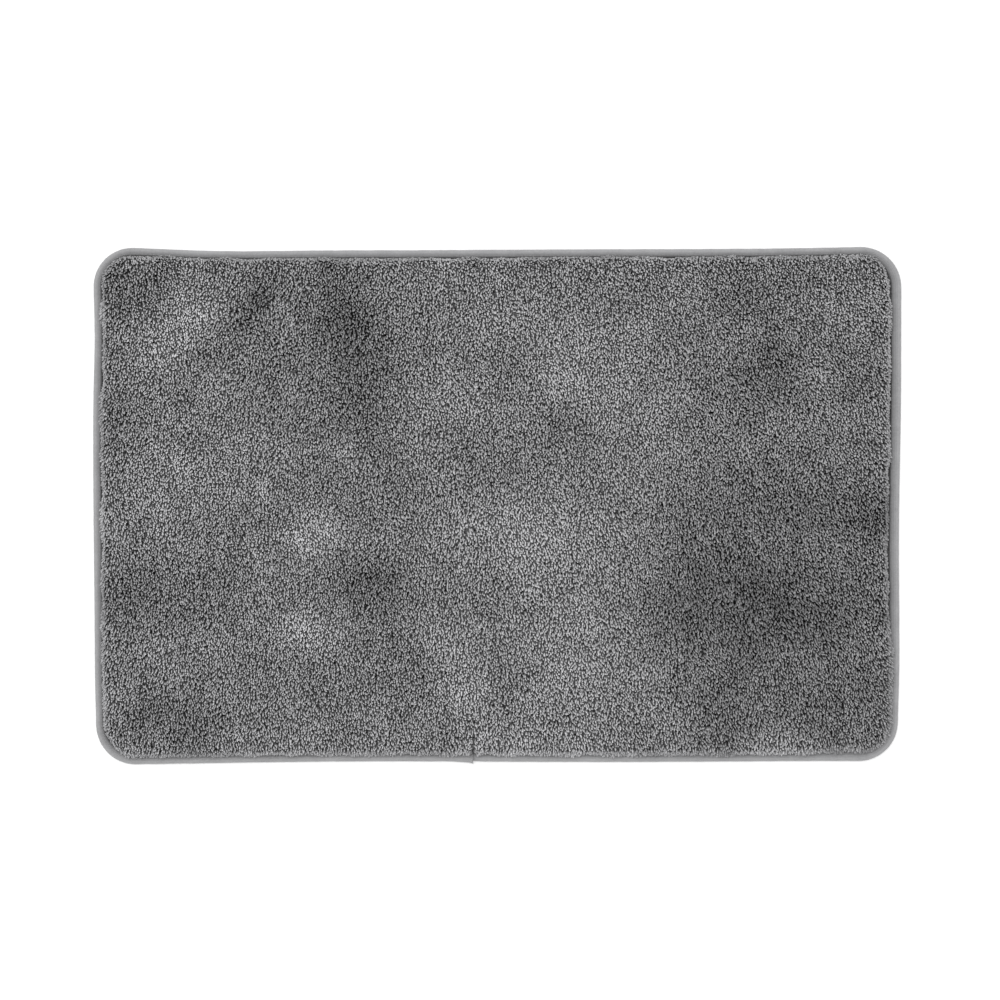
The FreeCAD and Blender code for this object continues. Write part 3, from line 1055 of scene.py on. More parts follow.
def strand_tree():
    """One curled strand on each root of one band of the pile."""
    graph = PieceGraph("Pile strands", {
        "Rise": "Float", "Reach": "Float", "Curl": "Float", "Width": "Float", "Lay": "Float",
        "Band Low": "Float", "Band High": "Float", "Bulge Level": "Float", "Seed": "Int",
        "Material": "Material"})
    seed = graph.given("Seed")
    root = graph.add("GeometryNodeInputPosition")
    y = graph.separate(root)[1]
    outside = graph.maths("MAXIMUM", graph.maths("LESS_THAN", y, graph.given("Band Low")),
                          1.0 - graph.maths("LESS_THAN", y, graph.given("Band High")))
    roots = graph.add("GeometryNodeDeleteGeometry", {"domain": "POINT"},
                      {"Geometry": graph.given(), "Selection": outside})
    count = graph.add("GeometryNodeAttributeDomainSize", {"component": "MESH"}, {"Geometry": roots})
    columns = graph.cell_columns(count)
    drift = graph.noise(root, LAY_SCALE)
    turn = graph.given("Lay") + LAY_SWING * (drift - 0.5) + graph.random(-LAY_JITTER, LAY_JITTER, seed)
    stored = roots
    for name, value, kind in (
            ("root", root, "FLOAT_VECTOR"),
            ("turn", turn, "FLOAT"),
            ("rise", graph.given("Rise") * graph.random(*RISE_RANGE, seed + 1), "FLOAT"),
            ("reach", graph.given("Reach") * graph.random(*REACH_RANGE, seed + 2), "FLOAT"),
            ("curl", graph.given("Curl") * graph.random(-1.0, 1.0, seed + 3), "FLOAT"),
            ("girth", graph.given("Width") * graph.random(*GIRTH_RANGE, seed + 4), "FLOAT"),
            ("fleck", graph.random(*FLECK_RANGE, seed + 5), "FLOAT"),
            ("cell", graph.add("GeometryNodeInputIndex") + 0.0, "FLOAT")):
        stored = graph.store(stored, name, value, kind)
    instances = graph.add("GeometryNodeInstanceOnPoints", None, {
        "Points": stored, "Instance": strand_prototype(graph)})
    strands = graph.add("GeometryNodeRealizeInstances", None, {"Geometry": instances})

    share, ring = graph.named("share"), graph.named("ring", "FLOAT_VECTOR")
    facing = graph.named("facing", "FLOAT_VECTOR")
    facing_x, facing_y, facing_z = graph.separate(facing)
    outward = graph.combine(facing_x, facing_y, 0.0)
    overhang = graph.named("overhang")
    axis = graph.vector_maths("NORMALIZE", facing * (SIDE_LEAN * overhang) + (0.0, 0.0, 1.0 - SIDE_LEAN))
    angle = graph.named("turn")
    root = graph.named("root", "FLOAT_VECTOR")
    root_x, root_y, root_z = graph.separate(root)
    beneath = (graph.given("Bulge Level") - root_z) / (graph.given("Bulge Level") - PILE_LOW.z)
    bulge = graph.ramp(beneath, 0.0, 1.0) * EDGE_BULGE * MM
    foot = root + graph.vector_maths("NORMALIZE", outward) * bulge
    beside = (root_x - JOIN_X) / PARTING_WIDTH
    past_end = (PARTING_END - root_y) / PARTING_FADE
    near_edge = graph.maths("SMOOTH_MIN", past_end, 1.0, PARTING_BLEND, clamp=True)
    parted = graph.maths("EXPONENT", 0.0 - beside * beside) * near_edge
    lay = graph.combine(graph.maths("COSINE", angle) + graph.maths("SIGN", beside) * parted * PARTING_PUSH,
                        graph.maths("SINE", angle), 0.0)
    heading = graph.vector_maths("NORMALIZE", lay + outward * (EDGE_PULL * overhang))
    across = graph.vector_maths("NORMALIZE", graph.vector_maths("CROSS_PRODUCT", axis, heading))
    rise = graph.named("rise") * (SIDE_RISE + (1.0 - SIDE_RISE) * facing_z)
    floppy = graph.ramp(graph.noise(root, FLOP_SCALE), FLOP_START, FLOP_FULL)
    flop = floppy * graph.ramp(0.0 - facing_z, -FLOP_FLAT, -SIDE_FACING) * overhang
    reach, curl = graph.named("reach") * (1.0 + EDGE_FLOP * flop), graph.named("curl")
    up = rise * (share * (1 + ARCH) - ARCH * share * share)
    over = reach * share * share
    aside = curl * share * share * share
    spine = axis * up + heading * over + across * aside
    # the strand's direction, from how fast up, over and aside grow with the share
    along = (axis * (rise * ((1 + ARCH) - 2 * ARCH * share)) + heading * (reach * 2.0 * share)
             + across * (curl * 3.0 * share * share))
    normal = graph.vector_maths("NORMALIZE", graph.vector_maths("CROSS_PRODUCT", along, across))
    ring_x, ring_y = graph.separate(ring)[:2]
    girth = graph.named("girth") * (ROOT_GIRTH + (1.0 - ROOT_GIRTH) * share)
    wall = across * (ring_x * girth * STRAND_BREADTH) + normal * (ring_y * girth * STRAND_DEPTH)
    moved = graph.add("GeometryNodeSetPosition", None, {
        "Geometry": strands, "Position": foot + spine + wall})

    # painted shade: strands on the pile's sloping side are made darker
    rim = 1.0 + RIM_LIGHT * graph.ramp(0.0 - facing_z, -RIM_FLAT, -SIDE_FACING)
    # painted shade: each strand darkens from its lit tip down to its root, as the shade between the tufts
    lit = graph.maths("SMOOTH_MAX", share, 0.0, LIT_BLEND)
    # painted shade: strands in the parting beside the binding's end are made darker
    plain = (graph.named("fleck") * rim * (1.0 - PARTING_SHADE * parted)
             * (ROOT_TONE + (1.0 - ROOT_TONE) * lit ** TONE_RISE)) ** (1 / EYE_GAMMA)
    # painted light and shade of the nap's patches, added to the strand's tone as seen
    nap = graph.named("nap") * NAP_SHIFT * (NAP_ON_DARK - NAP_LOSS_ON_LIGHT * plain)
    toned = graph.store(moved, "tone", graph.maths("MAXIMUM", plain + nap, DARKEST_TONE) ** EYE_GAMMA)
    side = 0.5 + graph.maths("ARCTAN2", ring_y, ring_x) / (4 * math.pi / 3)
    mapped = graph.map_cells(toned, columns, side, (share + BASE_DROP) / (1 + BASE_DROP))
    graph.deliver(mapped, graph.given("Material"))
    return graph.tree


class BATHMAT_OT_pile(Operator):
    """Grow the cut pile: its dense ground and bands of curled strands"""
    bl_idname = "bath_mat.pile"
    bl_label = "Cut pile"

    def execute(self, context):
        settings = context.scene.bath_mat_pile
        ground_mesh = pile_ground_mesh(settings, closed=True)
        ground = new_piece("pile_ground", ground_mesh, pile_ground_yarn(settings))
        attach(ground, BODY)
        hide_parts("cut_pile")

        roots = new_piece("pile_roots", pile_ground_mesh(settings, closed=False))
        grow(roots, root_scatter_tree(), {"Spacing": settings.spacing, "Seed": ROOT_SEED})
        yarn = pile_yarn(settings)
        tree = strand_tree()
        lines = np.linspace(-HALF_WIDTH, HALF_WIDTH, settings.bands + 1)
        bulge = PILE_LOW.z + BULGE_SHARE * (settings.ground_height - PILE_LOW.z)
        for number, (low, high) in enumerate(zip(lines, lines[1:]), start=1):
            band = new_piece(f"pile_rows_{number}", roots.data.copy())
            grow(band, tree, {
                "Rise": settings.rise, "Reach": settings.reach, "Curl": settings.curl,
                "Width": settings.width, "Lay": settings.lay, "Band Low": float(low),
                "Band High": float(high), "Bulge Level": bulge, "Seed": BAND_SEEDS * number,
                "Material": yarn})
            keep_attributes(band.data, ("tone", "OFBake"))
            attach(band, BODY)
            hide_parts("cut_pile")
        bpy.data.objects.remove(roots)
        return {"FINISHED"}


# ---- edge binding ---------------------------------------------------------

def fold_line(settings):
    """Middle of the folded tape's section, from its raw edge underneath to the edge turned under on top."""
    fold = settings.fold_radius
    low = BINDING_LOW.z + settings.thickness / 2 + FLOOR_GAP
    points = [(settings.lower_width, low), (0.6 * settings.lower_width + 0.4 * fold, low)]
    for angle in np.linspace(0, math.pi, FOLD_POINTS):
        points.append((fold - fold * math.sin(angle), low + fold - fold * math.cos(angle)))
    crown = low + 2 * fold
    nose = 0.5 * settings.thickness
    run = settings.upper_width - nose
    for share in np.linspace(0, 1, LEG_POINTS + 1)[1:]:
        inset = fold + share * (run - fold)
        points.append((inset, crown - UPPER_DROP * share ** UPPER_CURVE))
    end = crown - UPPER_DROP
    for angle in np.linspace(0, math.pi, NOSE_POINTS + 1)[1:]:
        points.append((run + nose * math.sin(angle), end - nose + nose * math.cos(angle)))
    points.append((run - settings.turned_width, end - 2 * nose + UNDERTURN_RISE * UPPER_DROP))
    return [(inset, 0.0, level) for inset, level in points]


def level_on_top(section, insets):
    """Level of the tape's middle line on the pile side, at places in from the mat's outline."""
    upper = section[2 + FOLD_POINTS // 2 + 1:2 + FOLD_POINTS + LEG_POINTS]
    return np.interp(insets, [inset for inset, flat, level in upper], [level for inset, flat, level in upper])


def line_length(points):
    return float(np.linalg.norm(np.diff(np.array(points), axis=0), axis=1).sum())


def line_object(name, points):
    """A hidden line that a geometry tree reads."""
    mesh = bpy.data.meshes.new(name)
    mesh.from_pydata([tuple(p) for p in points], [(i, i + 1) for i in range(len(points) - 1)], [])
    return new_piece(name, mesh)


def tape_strip(settings, width, length):
    """The tape laid flat: closed section all the way, with where each point is on it stored."""
    across = np.linspace(0, width, TAPE_COLUMNS)
    turn = np.linspace(0, math.pi, 5)[1:-1]
    edge = settings.thickness / 2
    section = np.array(
        [(a, 1.0) for a in across] + [(width + edge * math.sin(t), math.cos(t)) for t in turn]
        + [(a, -1.0) for a in across[::-1]] + [(-edge * math.sin(t), -math.cos(t)) for t in turn])
    rows, columns = int(length / TAPE_STEP) + 1, len(section)
    along = np.repeat(np.linspace(0, length, rows), columns)
    across, side = np.tile(section, (rows, 1)).T
    faces = quads_between(rows, columns)
    ends = [list(range(columns)), list(range((rows - 1) * columns, rows * columns))[::-1]]
    mesh = bpy.data.meshes.new("folded_tape")
    mesh.from_pydata(np.column_stack([along, across, side]).tolist(), [], faces.tolist() + ends)
    slim = 1 - INNER_SLIM * (1 - smooth_step(along, settings.lap, settings.lap + LAP_FADE))
    slim -= OUTER_SLIM * over_lap(along, length - settings.lap) * (1 - off_floor(across))
    for name, values in (("along", along), ("across", across), ("side", side), ("slim", slim),
                         ("shift", tape_shift(settings, along, across, length)),
                         ("spread", tape_spread(settings, along))):
        keep_on_points(mesh, name, values)
    map_strip(mesh, faces, rows - 1, columns)
    return mesh


def tape_spread(settings, along):
    """How much wider the tape lies on top: on the right, and in front most of all where it is bare."""
    x, y = along_outline(along + join_distance() - settings.lap)[0].T
    in_front = FRONT_TAPE_SPREAD + BARE_TAPE_SHARE * BARE_DRAW * bare_stretch(x)
    left, right, front, back = side_weights(x, y, SPREAD_START, 0)
    return RIGHT_TAPE_SPREAD * right + in_front * front


def map_strip(mesh, faces, steps, columns):
    """Bake map of the long strip, cut into rows that lie under each other, with its two ends in a corner."""
    per_row = math.ceil(steps / STRIP_ROWS)
    step = faces[:, 0] // columns
    row = step // per_row
    corner_step = step[:, None] + np.array([0, 0, 1, 1])
    slot = (np.arange(len(faces)) % columns)[:, None] + np.array([0, 1, 1, 0])
    u = STRIP_END_MARGIN + (1 - 2 * STRIP_END_MARGIN) * (corner_step - row[:, None] * per_row) / per_row
    v = (row[:, None] + STRIP_SIDE_MARGIN + (1 - 2 * STRIP_SIDE_MARGIN) * slot / columns) / STRIP_ROWS
    strip = np.stack([u, v], axis=-1).reshape(-1, 2)
    tail = len(mesh.loops) - len(strip)
    angle = np.arange(tail) * 4 * math.pi / tail
    caps = CAP_SPOT + CAP_RADIUS * np.column_stack([np.cos(angle), np.sin(angle)])
    flat = np.concatenate([strip, caps]).astype(np.float32)
    mesh.uv_layers.new(name="OFBake").data.foreach_set("uv", flat.ravel())


def over_lap(along, lap_start):
    """0 where the tape is single, 1 where its end lies over its start."""
    return smooth_step(along, lap_start - LAP_RISE_BEFORE, lap_start + LAP_RISE_AFTER)


def off_floor(across):
    """0 on the tape's leg underneath, 1 on the leg on top."""
    return smooth_step(across, LEG_END, FOLD_START)


def tape_shift(settings, along, across, length):
    """How far the tape stands out from its fold line, at the lap and in gathers and creases."""
    under = 1 - smooth_step(along, settings.lap, settings.lap + LAP_FADE)
    over = over_lap(along, length - settings.lap)
    fold = settings.lower_width + math.pi * settings.fold_radius / 2
    at_fold = np.exp(-((across - fold) / FOLD_SPAN) ** 2)
    flare = np.clip((along - length + FLARE_LENGTH) / FLARE_LENGTH, 0, 1) ** 2
    lip = smooth_step(along, length - LIP_START, length - LIP_FULL)
    outer_ply = LAP_LOWER + (LAP_UPPER - LAP_LOWER) * off_floor(across)
    shift = -LAP_INNER * under + outer_ply * over + (FLARE * flare + LIP * lip) * at_fold
    x, y = along_outline(along + join_distance() - settings.lap)[0].T
    at_corner = (smooth_step(np.abs(x), CORNER_X - GATHER_START, CORNER_X + GATHER_FULL)
                 * smooth_step(np.abs(y), CORNER_Y - GATHER_START, CORNER_Y + GATHER_FULL))
    sway = GATHER_SWAY * np.sin(along * GATHER_SWAY_RATE)
    gathers = np.sin(along * 2 * math.pi / GATHER_PITCH + sway)
    shift += GATHER_DEPTH * gathers * at_corner * (1 - GATHER_LESS_AT_FOLD * at_fold)
    for crease_x, depth in BINDING_CREASES:
        near = np.exp(-((x - crease_x) / CREASE_WIDTH) ** 2) * (y < 0)
        shift -= depth * near * (across > fold)
    return shift


def fold_tape_tree():
    """Wrap the flat strip round the outline and fold it over the mat's edge, drawn in along both seams."""
    graph = PieceGraph("Folded binding", {
        "Outline": "Object", "Fold": "Object", "Thickness": "Float", "Pucker": "Float", "Pitch": "Float",
        "Upper Seam": "Float", "Lower Seam": "Float", "Material": "Material"})
    along, across, side = graph.named("along"), graph.named("across"), graph.named("side")

    def sampled(name, distance):
        line = graph.add("GeometryNodeObjectInfo", None, {"Object": graph.given(name)}).sibling("Geometry")
        curve = graph.add("GeometryNodeMeshToCurve", None, {"Mesh": line})
        node = graph.add("GeometryNodeSampleCurve", {"mode": "LENGTH", "use_all_curves": True},
                         {"Curves": curve, "Length": distance})
        return node.sibling("Position"), node.sibling("Tangent")

    place, travel = sampled("Outline", along)
    inward = graph.vector_maths("NORMALIZE", graph.vector_maths("CROSS_PRODUCT", (0.0, 0.0, 1.0), travel))
    spot_on_fold, direction = sampled("Fold", across)
    inset, flat, level = graph.separate(spot_on_fold)
    on_top = (graph.ramp(level, BINDING_LOW.z + TOP_LEG_LOW, BINDING_LOW.z + TOP_LEG_HIGH)
              * graph.ramp(inset, TOP_LEG_START, TOP_LEG_FULL))
    inset = inset + graph.named("spread") * on_top
    run, flat, climb = graph.separate(direction)
    outer = inward * climb + graph.combine(0.0, 0.0, 0.0 - run)

    def drawn_in(seam, width):
        away = (across - seam) / width
        turn = along * (2 * math.pi) / graph.given("Pitch")
        stitch = PULL_MIDDLE + PULL_SWING * graph.maths("COSINE", turn)
        return graph.maths("EXPONENT", 0.0 - away * away) * stitch * graph.given("Pucker")

    waver = graph.noise(place + graph.combine(0.0, 0.0, across * 2.0), WAVER_SCALE) - 0.5
    off_floor_share = graph.ramp(across, LEG_END, FOLD_START)
    waver = waver * (WAVER_UNDERNEATH + (1 - WAVER_UNDERNEATH) * off_floor_share)
    half_ply = side * graph.named("slim") * graph.given("Thickness") * 0.5
    out = graph.named("shift") + waver * TAPE_WAVER + half_ply
    for seam, pull in (("Upper Seam", UPPER_PULL), ("Lower Seam", LOWER_PULL)):
        out = out - drawn_in(graph.given(seam), pull)
    spot = place + inward * inset + graph.combine(0.0, 0.0, level) - outer * out
    x, y, z = graph.separate(spot)
    above_floor = graph.combine(x, y, graph.maths("MAXIMUM", z, LEAST_LEVEL))
    folded = graph.add("GeometryNodeSetPosition", None, {
        "Geometry": graph.given(), "Position": above_floor})
    graph.deliver(folded, graph.given("Material"))
    return graph.tree


class BATHMAT_OT_binding(Operator):
    """Fold the binding tape round the mat's edge, lapped where its ends meet"""
    bl_idname = "bath_mat.binding"
    bl_label = "Edge binding"

    def execute(self, context):
        settings = context.scene.bath_mat_binding
        seams = context.scene.bath_mat_seams
        length = OUTLINE_LENGTH + settings.lap
        start = join_distance() - settings.lap
        walked = np.append(np.arange(0, length, OUTLINE_STEP), length)
        outline = line_object("binding_path", [(x, y, 0.0) for x, y in along_outline(start + walked)[0]])
        section = fold_line(settings)
        fold = line_object("binding_fold", section)
        width = line_length(section)
        strip = new_piece("folded_tape", tape_strip(settings, width, length * SHORTEST_TAPE))
        grow(strip, fold_tape_tree(), {
            "Outline": outline, "Fold": fold, "Thickness": settings.thickness, "Pucker": settings.pucker,
            "Pitch": seams.pitch, "Upper Seam": seam_across(section, upper=True),
            "Lower Seam": seam_across(section, upper=False), "Material": binding_tape(settings)})
        bpy.data.objects.remove(outline)
        bpy.data.objects.remove(fold)
        lay_down(strip)
        turn_outwards(strip.data)
        keep_attributes(strip.data, ("along", "across", "OFBake"))
        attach(strip, BODY)
        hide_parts("edge_binding")
        return {"FINISHED"}


def seam_across(section, upper):
    """Distance across the tape at which one of its two layers passes the seam."""
    walked, spots = 0.0, []
    for (inset, flat, level), (next_inset, flat, next_level) in zip(section, section[1:]):
        step = math.hypot(next_inset - inset, next_level - level)
        if (inset - SEAM_INSET) * (next_inset - SEAM_INSET) <= 0 and inset != next_inset:
            spots.append(walked + step * (SEAM_INSET - inset) / (next_inset - inset))
        walked += step
    return spots[1] if upper else spots[0]


# ---- seams ----------------------------------------------------------------

def stitch_tree():
    """One bowed stitch of round thread on each point, lying along the point's stored heading."""
    graph = PieceGraph("Stitches", {
        "Length": "Float", "Radius": "Float", "Dip": "Float", "Seed": "Int", "Material": "Material"})
    half = graph.given("Length") * 0.5
    dip = graph.given("Dip")
    bow = graph.add("GeometryNodeCurveQuadraticBezier", None, {
        "Resolution": 6, "Start": graph.combine(0.0 - half, 0.0, 0.0 - dip),
        "Middle": graph.combine(0.0, 0.0, dip), "End": graph.combine(half, 0.0, 0.0 - dip)})
    round_section = graph.add("GeometryNodeCurvePrimitiveCircle", None,
                              {"Resolution": 6, "Radius": graph.given("Radius")})
    thread = graph.add("GeometryNodeCurveToMesh", None,
                       {"Curve": bow, "Profile Curve": round_section, "Fill Caps": True})
    x, y, z = graph.separate(graph.add("GeometryNodeInputPosition"))
    around = 0.5 + graph.maths("ARCTAN2", z, y) / (2 * math.pi)
    along = x / graph.given("Length") + 0.5
    local = graph.store(thread, "local", graph.combine(along, around, 0.0), "FLOAT_VECTOR")
    count = graph.add("GeometryNodeAttributeDomainSize", {"component": "MESH"}, {"Geometry": graph.given()})
    numbered = graph.store(graph.given(), "cell", graph.add("GeometryNodeInputIndex") + 0.0)
    turned = graph.add("FunctionNodeAlignRotationToVector", {"axis": "X"},
                       {"Vector": graph.named("heading", "FLOAT_VECTOR")})
    stitches = graph.add("GeometryNodeInstanceOnPoints", None,
                         {"Points": numbered, "Instance": local, "Rotation": turned})
    jitter = graph.combine(0.0, 0.0, graph.random(-STITCH_JITTER, STITCH_JITTER, graph.given("Seed")))
    loosened = graph.add("GeometryNodeRotateInstances", None, {"Instances": stitches, "Rotation": jitter})
    meshed = graph.add("GeometryNodeRealizeInstances", None, {"Geometry": loosened})
    u, v = graph.separate(graph.named("local", "FLOAT_VECTOR"))[:2]
    mapped = graph.map_cells(meshed, graph.cell_columns(count), u, v)
    graph.deliver(mapped, graph.given("Material"))
    return graph.tree


def stitch_points(name, points, headings):
    """One point for each stitch, with the direction it is sewn in."""
    mesh = bpy.data.meshes.new(name)
    mesh.from_pydata([tuple(p) for p in points], [], [])
    mesh.attributes.new("heading", "FLOAT_VECTOR", "POINT").data.foreach_set(
        "vector", np.asarray(headings, np.float32).ravel())
    return new_piece(name, mesh)


def seam_points(pitch, level, lift):
    """Points and directions of one run of stitches round the mat, lifted where it crosses the lap."""
    count = round(OUTLINE_LENGTH / pitch)
    distances = (np.arange(count) + 0.5) * OUTLINE_LENGTH / count
    points, inward = along_outline(distances)
    places = points + inward * SEAM_INSET
    headings = np.column_stack([inward[:, 1], -inward[:, 0], np.zeros(count)])
    behind_join = join_distance() - distances
    on_lap = smooth_step(behind_join, -1 * MM, 0.0) * (1 - smooth_step(behind_join, LAP, LAP_LIFT_END))
    return np.column_stack([places, level + lift * on_lap]), headings


class BATHMAT_OT_seams(Operator):
    """Sew the binding: the run of stitches on top, the run underneath and the bars over its lap"""
    bl_idname = "bath_mat.seams"
    bl_label = "Binding seams"

    def execute(self, context):
        settings = context.scene.bath_mat_seams
        binding = context.scene.bath_mat_binding
        tree = stitch_tree()
        material = seam_thread(settings)
        section = fold_line(binding)
        tape_top = level_on_top(section, SEAM_INSET) + binding.thickness / 2
        top = tape_top - binding.pucker + NEEDLE_STANDS * THREAD_RADIUS
        under = BOBBIN_LOW.z + THREAD_RADIUS
        length = settings.pitch - settings.gap
        for name, level, lift, dip, seed in (("binding_needle_thread", top, LAP_LIFT, UPPER_DIP, 3),
                                             ("binding_bobbin_thread", under, 0.0, LOWER_DIP, 5)):
            piece = stitch_points(name + "_sewn", *seam_points(settings.pitch, level, lift))
            self.sew(piece, tree, name, {"Length": length, "Radius": THREAD_RADIUS, "Dip": dip,
                                         "Seed": seed, "Material": material})
        edge, inward = along_outline([join_distance() - TACK_BEHIND])
        insets = np.linspace(TACK_FIRST, TACK_LAST, TACK_BARS)
        levels = level_on_top(section, insets) + binding.thickness / 2 + TACK_STANDS
        spots = np.column_stack([edge + inward * insets[:, None], levels])
        piece = stitch_points("join_tack_sewn", spots, np.tile([1.0, 0.0, 0.0], (TACK_BARS, 1)))
        self.sew(piece, tree, "join_tack_stitches", {
            "Length": TACK_HIGH.x - TACK_LOW.x, "Radius": THREAD_RADIUS, "Dip": TACK_DIP, "Seed": 8,
            "Material": material})
        return {"FINISHED"}

    def sew(self, piece, tree, node, inputs):
        grow(piece, tree, inputs)
        lay_down(piece)
        keep_attributes(piece.data, ("OFBake",))
        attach(piece, BODY)
        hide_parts(node)


# ---- layers under the pile -------------------------------------------------

def slab_mesh(name, low, high, rings, sag=0.0):
    """A flat layer inside the binding, between two levels, lying as the mat lies."""
    points, inward = rim_of_ground()
    rim = points + inward * LAYER_INSET
    spine = spine_under(rim)
    flat = np.array([rim + share * (spine - rim) for share in np.linspace(0, 1, rings + 1)])
    lows = np.full(flat.shape[:2], low)
    if sag:
        lows += sag * wander(flat[..., 0], flat[..., 1], FILM_SAG_SIZE, seed=2.9)
    lower = np.dstack([flat, lows])
    upper = np.dstack([flat, np.full(flat.shape[:2], high)])
    return mesh_of_rings(name, settled(np.concatenate([lower[::-1], upper])))


class BATHMAT_OT_layers(Operator):
    """Lay the backing: primary cloth, tuft backs, latex and felted cloth"""
    bl_idname = "bath_mat.layers"
    bl_label = "Backing layers"

    def execute(self, context):
        felt = mottled_finish("Felted backing", (0.42, 0.42, 0.42), scale=1100.0, roughness=0.92,
                              bump_height=0.25 * MM)
        latex = mottled_finish("Latex coat", (0.72, 0.70, 0.62), scale=120.0, roughness=0.6,
                               bump_height=0.4 * MM)
        woven_cloth = cloth_finish("Primary cloth", (0.1, 0.1, 0.102), CLOTH_THREAD)
        for name, node, slot, finish, under in (
                ("felt_cloth", "backing_cloth", "felted_backing", felt, "rubber_film"),
                ("latex_layer", "latex_coat", "latex", latex, None),
                ("tufting_cloth", "primary_backing", "primary_cloth", woven_cloth, "latex_layer")):
            low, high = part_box(node)
            layer = new_piece(name, slab_mesh(name, low.z, high.z, LAYER_RINGS), finish)
            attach(layer, BODY)
            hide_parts(node)
        yarn_backs = mottled_finish("Yarn backs", (0.17, 0.17, 0.175), scale=900.0, roughness=0.85,
                                    bump_height=0.3 * MM)
        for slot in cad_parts["tuft_back_stitches"].material_slots:
            slot.material = yarn_backs
        return {"FINISHED"}


# ---- underside ------------------------------------------------------------

def dot_centres():
    """Centres of the cast dots, in staggered rows, read from the tips of the frame's own."""
    places = places_of(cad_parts["grip_rubber"].data)
    tips = places[places[:, 2] < DOT_TIP_LEVEL, :2]
    rows = np.round(tips[:, 1] / DOT_ROW)
    columns = np.round((tips[:, 0] - stagger(rows)) / DOT_PITCH)
    rows, columns = np.unique(np.column_stack([rows, columns]), axis=0).T
    return np.column_stack([columns * DOT_PITCH + stagger(rows), rows * DOT_ROW])


def stagger(rows):
    """How far each row of dots is shifted: half a pitch for every second one."""
    return np.where(rows % 2 == 0, 0.0, DOT_PITCH / 2)


def dot_tree():
    """A squat domed dot of rubber hanging from each point."""
    graph = PieceGraph("Grip dots", {
        "Radius": "Float", "Depth": "Float", "Seed": "Int", "Material": "Material"})
    ball = graph.add("GeometryNodeMeshUVSphere", None, {"Segments": 10, "Rings": 6, "Radius": 1.0})
    x, y, z = graph.separate(graph.add("GeometryNodeInputPosition"))
    fullness = graph.maths("POWER", graph.maths("ABSOLUTE", z), DOT_FULLNESS)
    up = graph.maths("GREATER_THAN", z, 0.0)
    level = fullness * (up * DOT_ROOT - (1.0 - up))
    radius, depth = graph.given("Radius"), graph.given("Depth")
    squat = graph.add("GeometryNodeSetPosition", None, {
        "Geometry": ball, "Position": graph.combine(x * radius, y * radius, level * depth)})
    local = graph.store(squat, "local", graph.combine(0.5 + 0.5 * x, 0.5 + 0.5 * y, 0.0), "FLOAT_VECTOR")
    count = graph.add("GeometryNodeAttributeDomainSize", {"component": "MESH"}, {"Geometry": graph.given()})
    numbered = graph.store(graph.given(), "cell", graph.add("GeometryNodeInputIndex") + 0.0)
    size = graph.random(*DOT_SIZES, graph.given("Seed"))
    dots = graph.add("GeometryNodeInstanceOnPoints", None, {
        "Points": numbered, "Instance": local, "Scale": graph.combine(size, size, 1.0)})
    meshed = graph.add("GeometryNodeRealizeInstances", None, {"Geometry": dots})
    u, v = graph.separate(graph.named("local", "FLOAT_VECTOR"))[:2]
    mapped = graph.map_cells(meshed, graph.cell_columns(count), u, v)
    graph.deliver(mapped, graph.given("Material"))
    return graph.tree


class BATHMAT_OT_underside(Operator):
    """Cast the rubber film and its grip dots"""
    bl_idname = "bath_mat.underside"
    bl_label = "Rubber underside"

    def execute(self, context):
        settings = context.scene.bath_mat_underside
        material = grip_rubber_finish(settings)
        low = RUBBER_HIGH.z - FILM_THICKNESS
        film_mesh = slab_mesh("rubber_film", low, RUBBER_HIGH.z, FILM_RINGS, FILM_SAG)
        film = new_piece("rubber_film", film_mesh, material)
        mesh = bpy.data.meshes.new("rubber_dots")
        mesh.from_pydata([(x, y, low) for x, y in dot_centres()], [], [])
        dots = new_piece("rubber_dots", mesh)
        grow(dots, dot_tree(), {"Radius": settings.dot_radius, "Depth": low - RUBBER_LOW.z,
                                "Seed": DOT_SEED, "Material": material})
        lay_down(dots)
        keep_attributes(dots.data, ("OFBake",))
        for piece in (film, dots):
            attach(piece, BODY)
            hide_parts("grip_rubber")
        return {"FINISHED"}


def ribbon_line():
    """Middle line of the label's ribbon as y and level: out from the binding, round its bend and back."""
    upper, lower = LABEL_HIGH.z - LABEL_PLY / 2, LABEL_LOW.z + LABEL_PLY / 2
    drop = (upper - lower) / 2
    reach = LABEL_LOW.y + drop + LABEL_PLY - LABEL_HIGH.y
    shares = np.linspace(0, 1, LABEL_STEPS)
    line = [(LABEL_HIGH.y + share * reach, lower - LABEL_DROOP * share ** 2) for share in shares]
    bend_y, bend_level = line[-1]
    for angle in np.linspace(0, math.pi, LABEL_BEND_STEPS)[1:-1]:
        y = bend_y - (drop + LABEL_PLY / 2) * math.sin(angle)
        line.append((y, bend_level + drop - drop * math.cos(angle)))
    line += [(LABEL_HIGH.y + share * reach, upper - LABEL_DROOP * share ** 2) for share in shares[::-1]]
    return np.array(line)


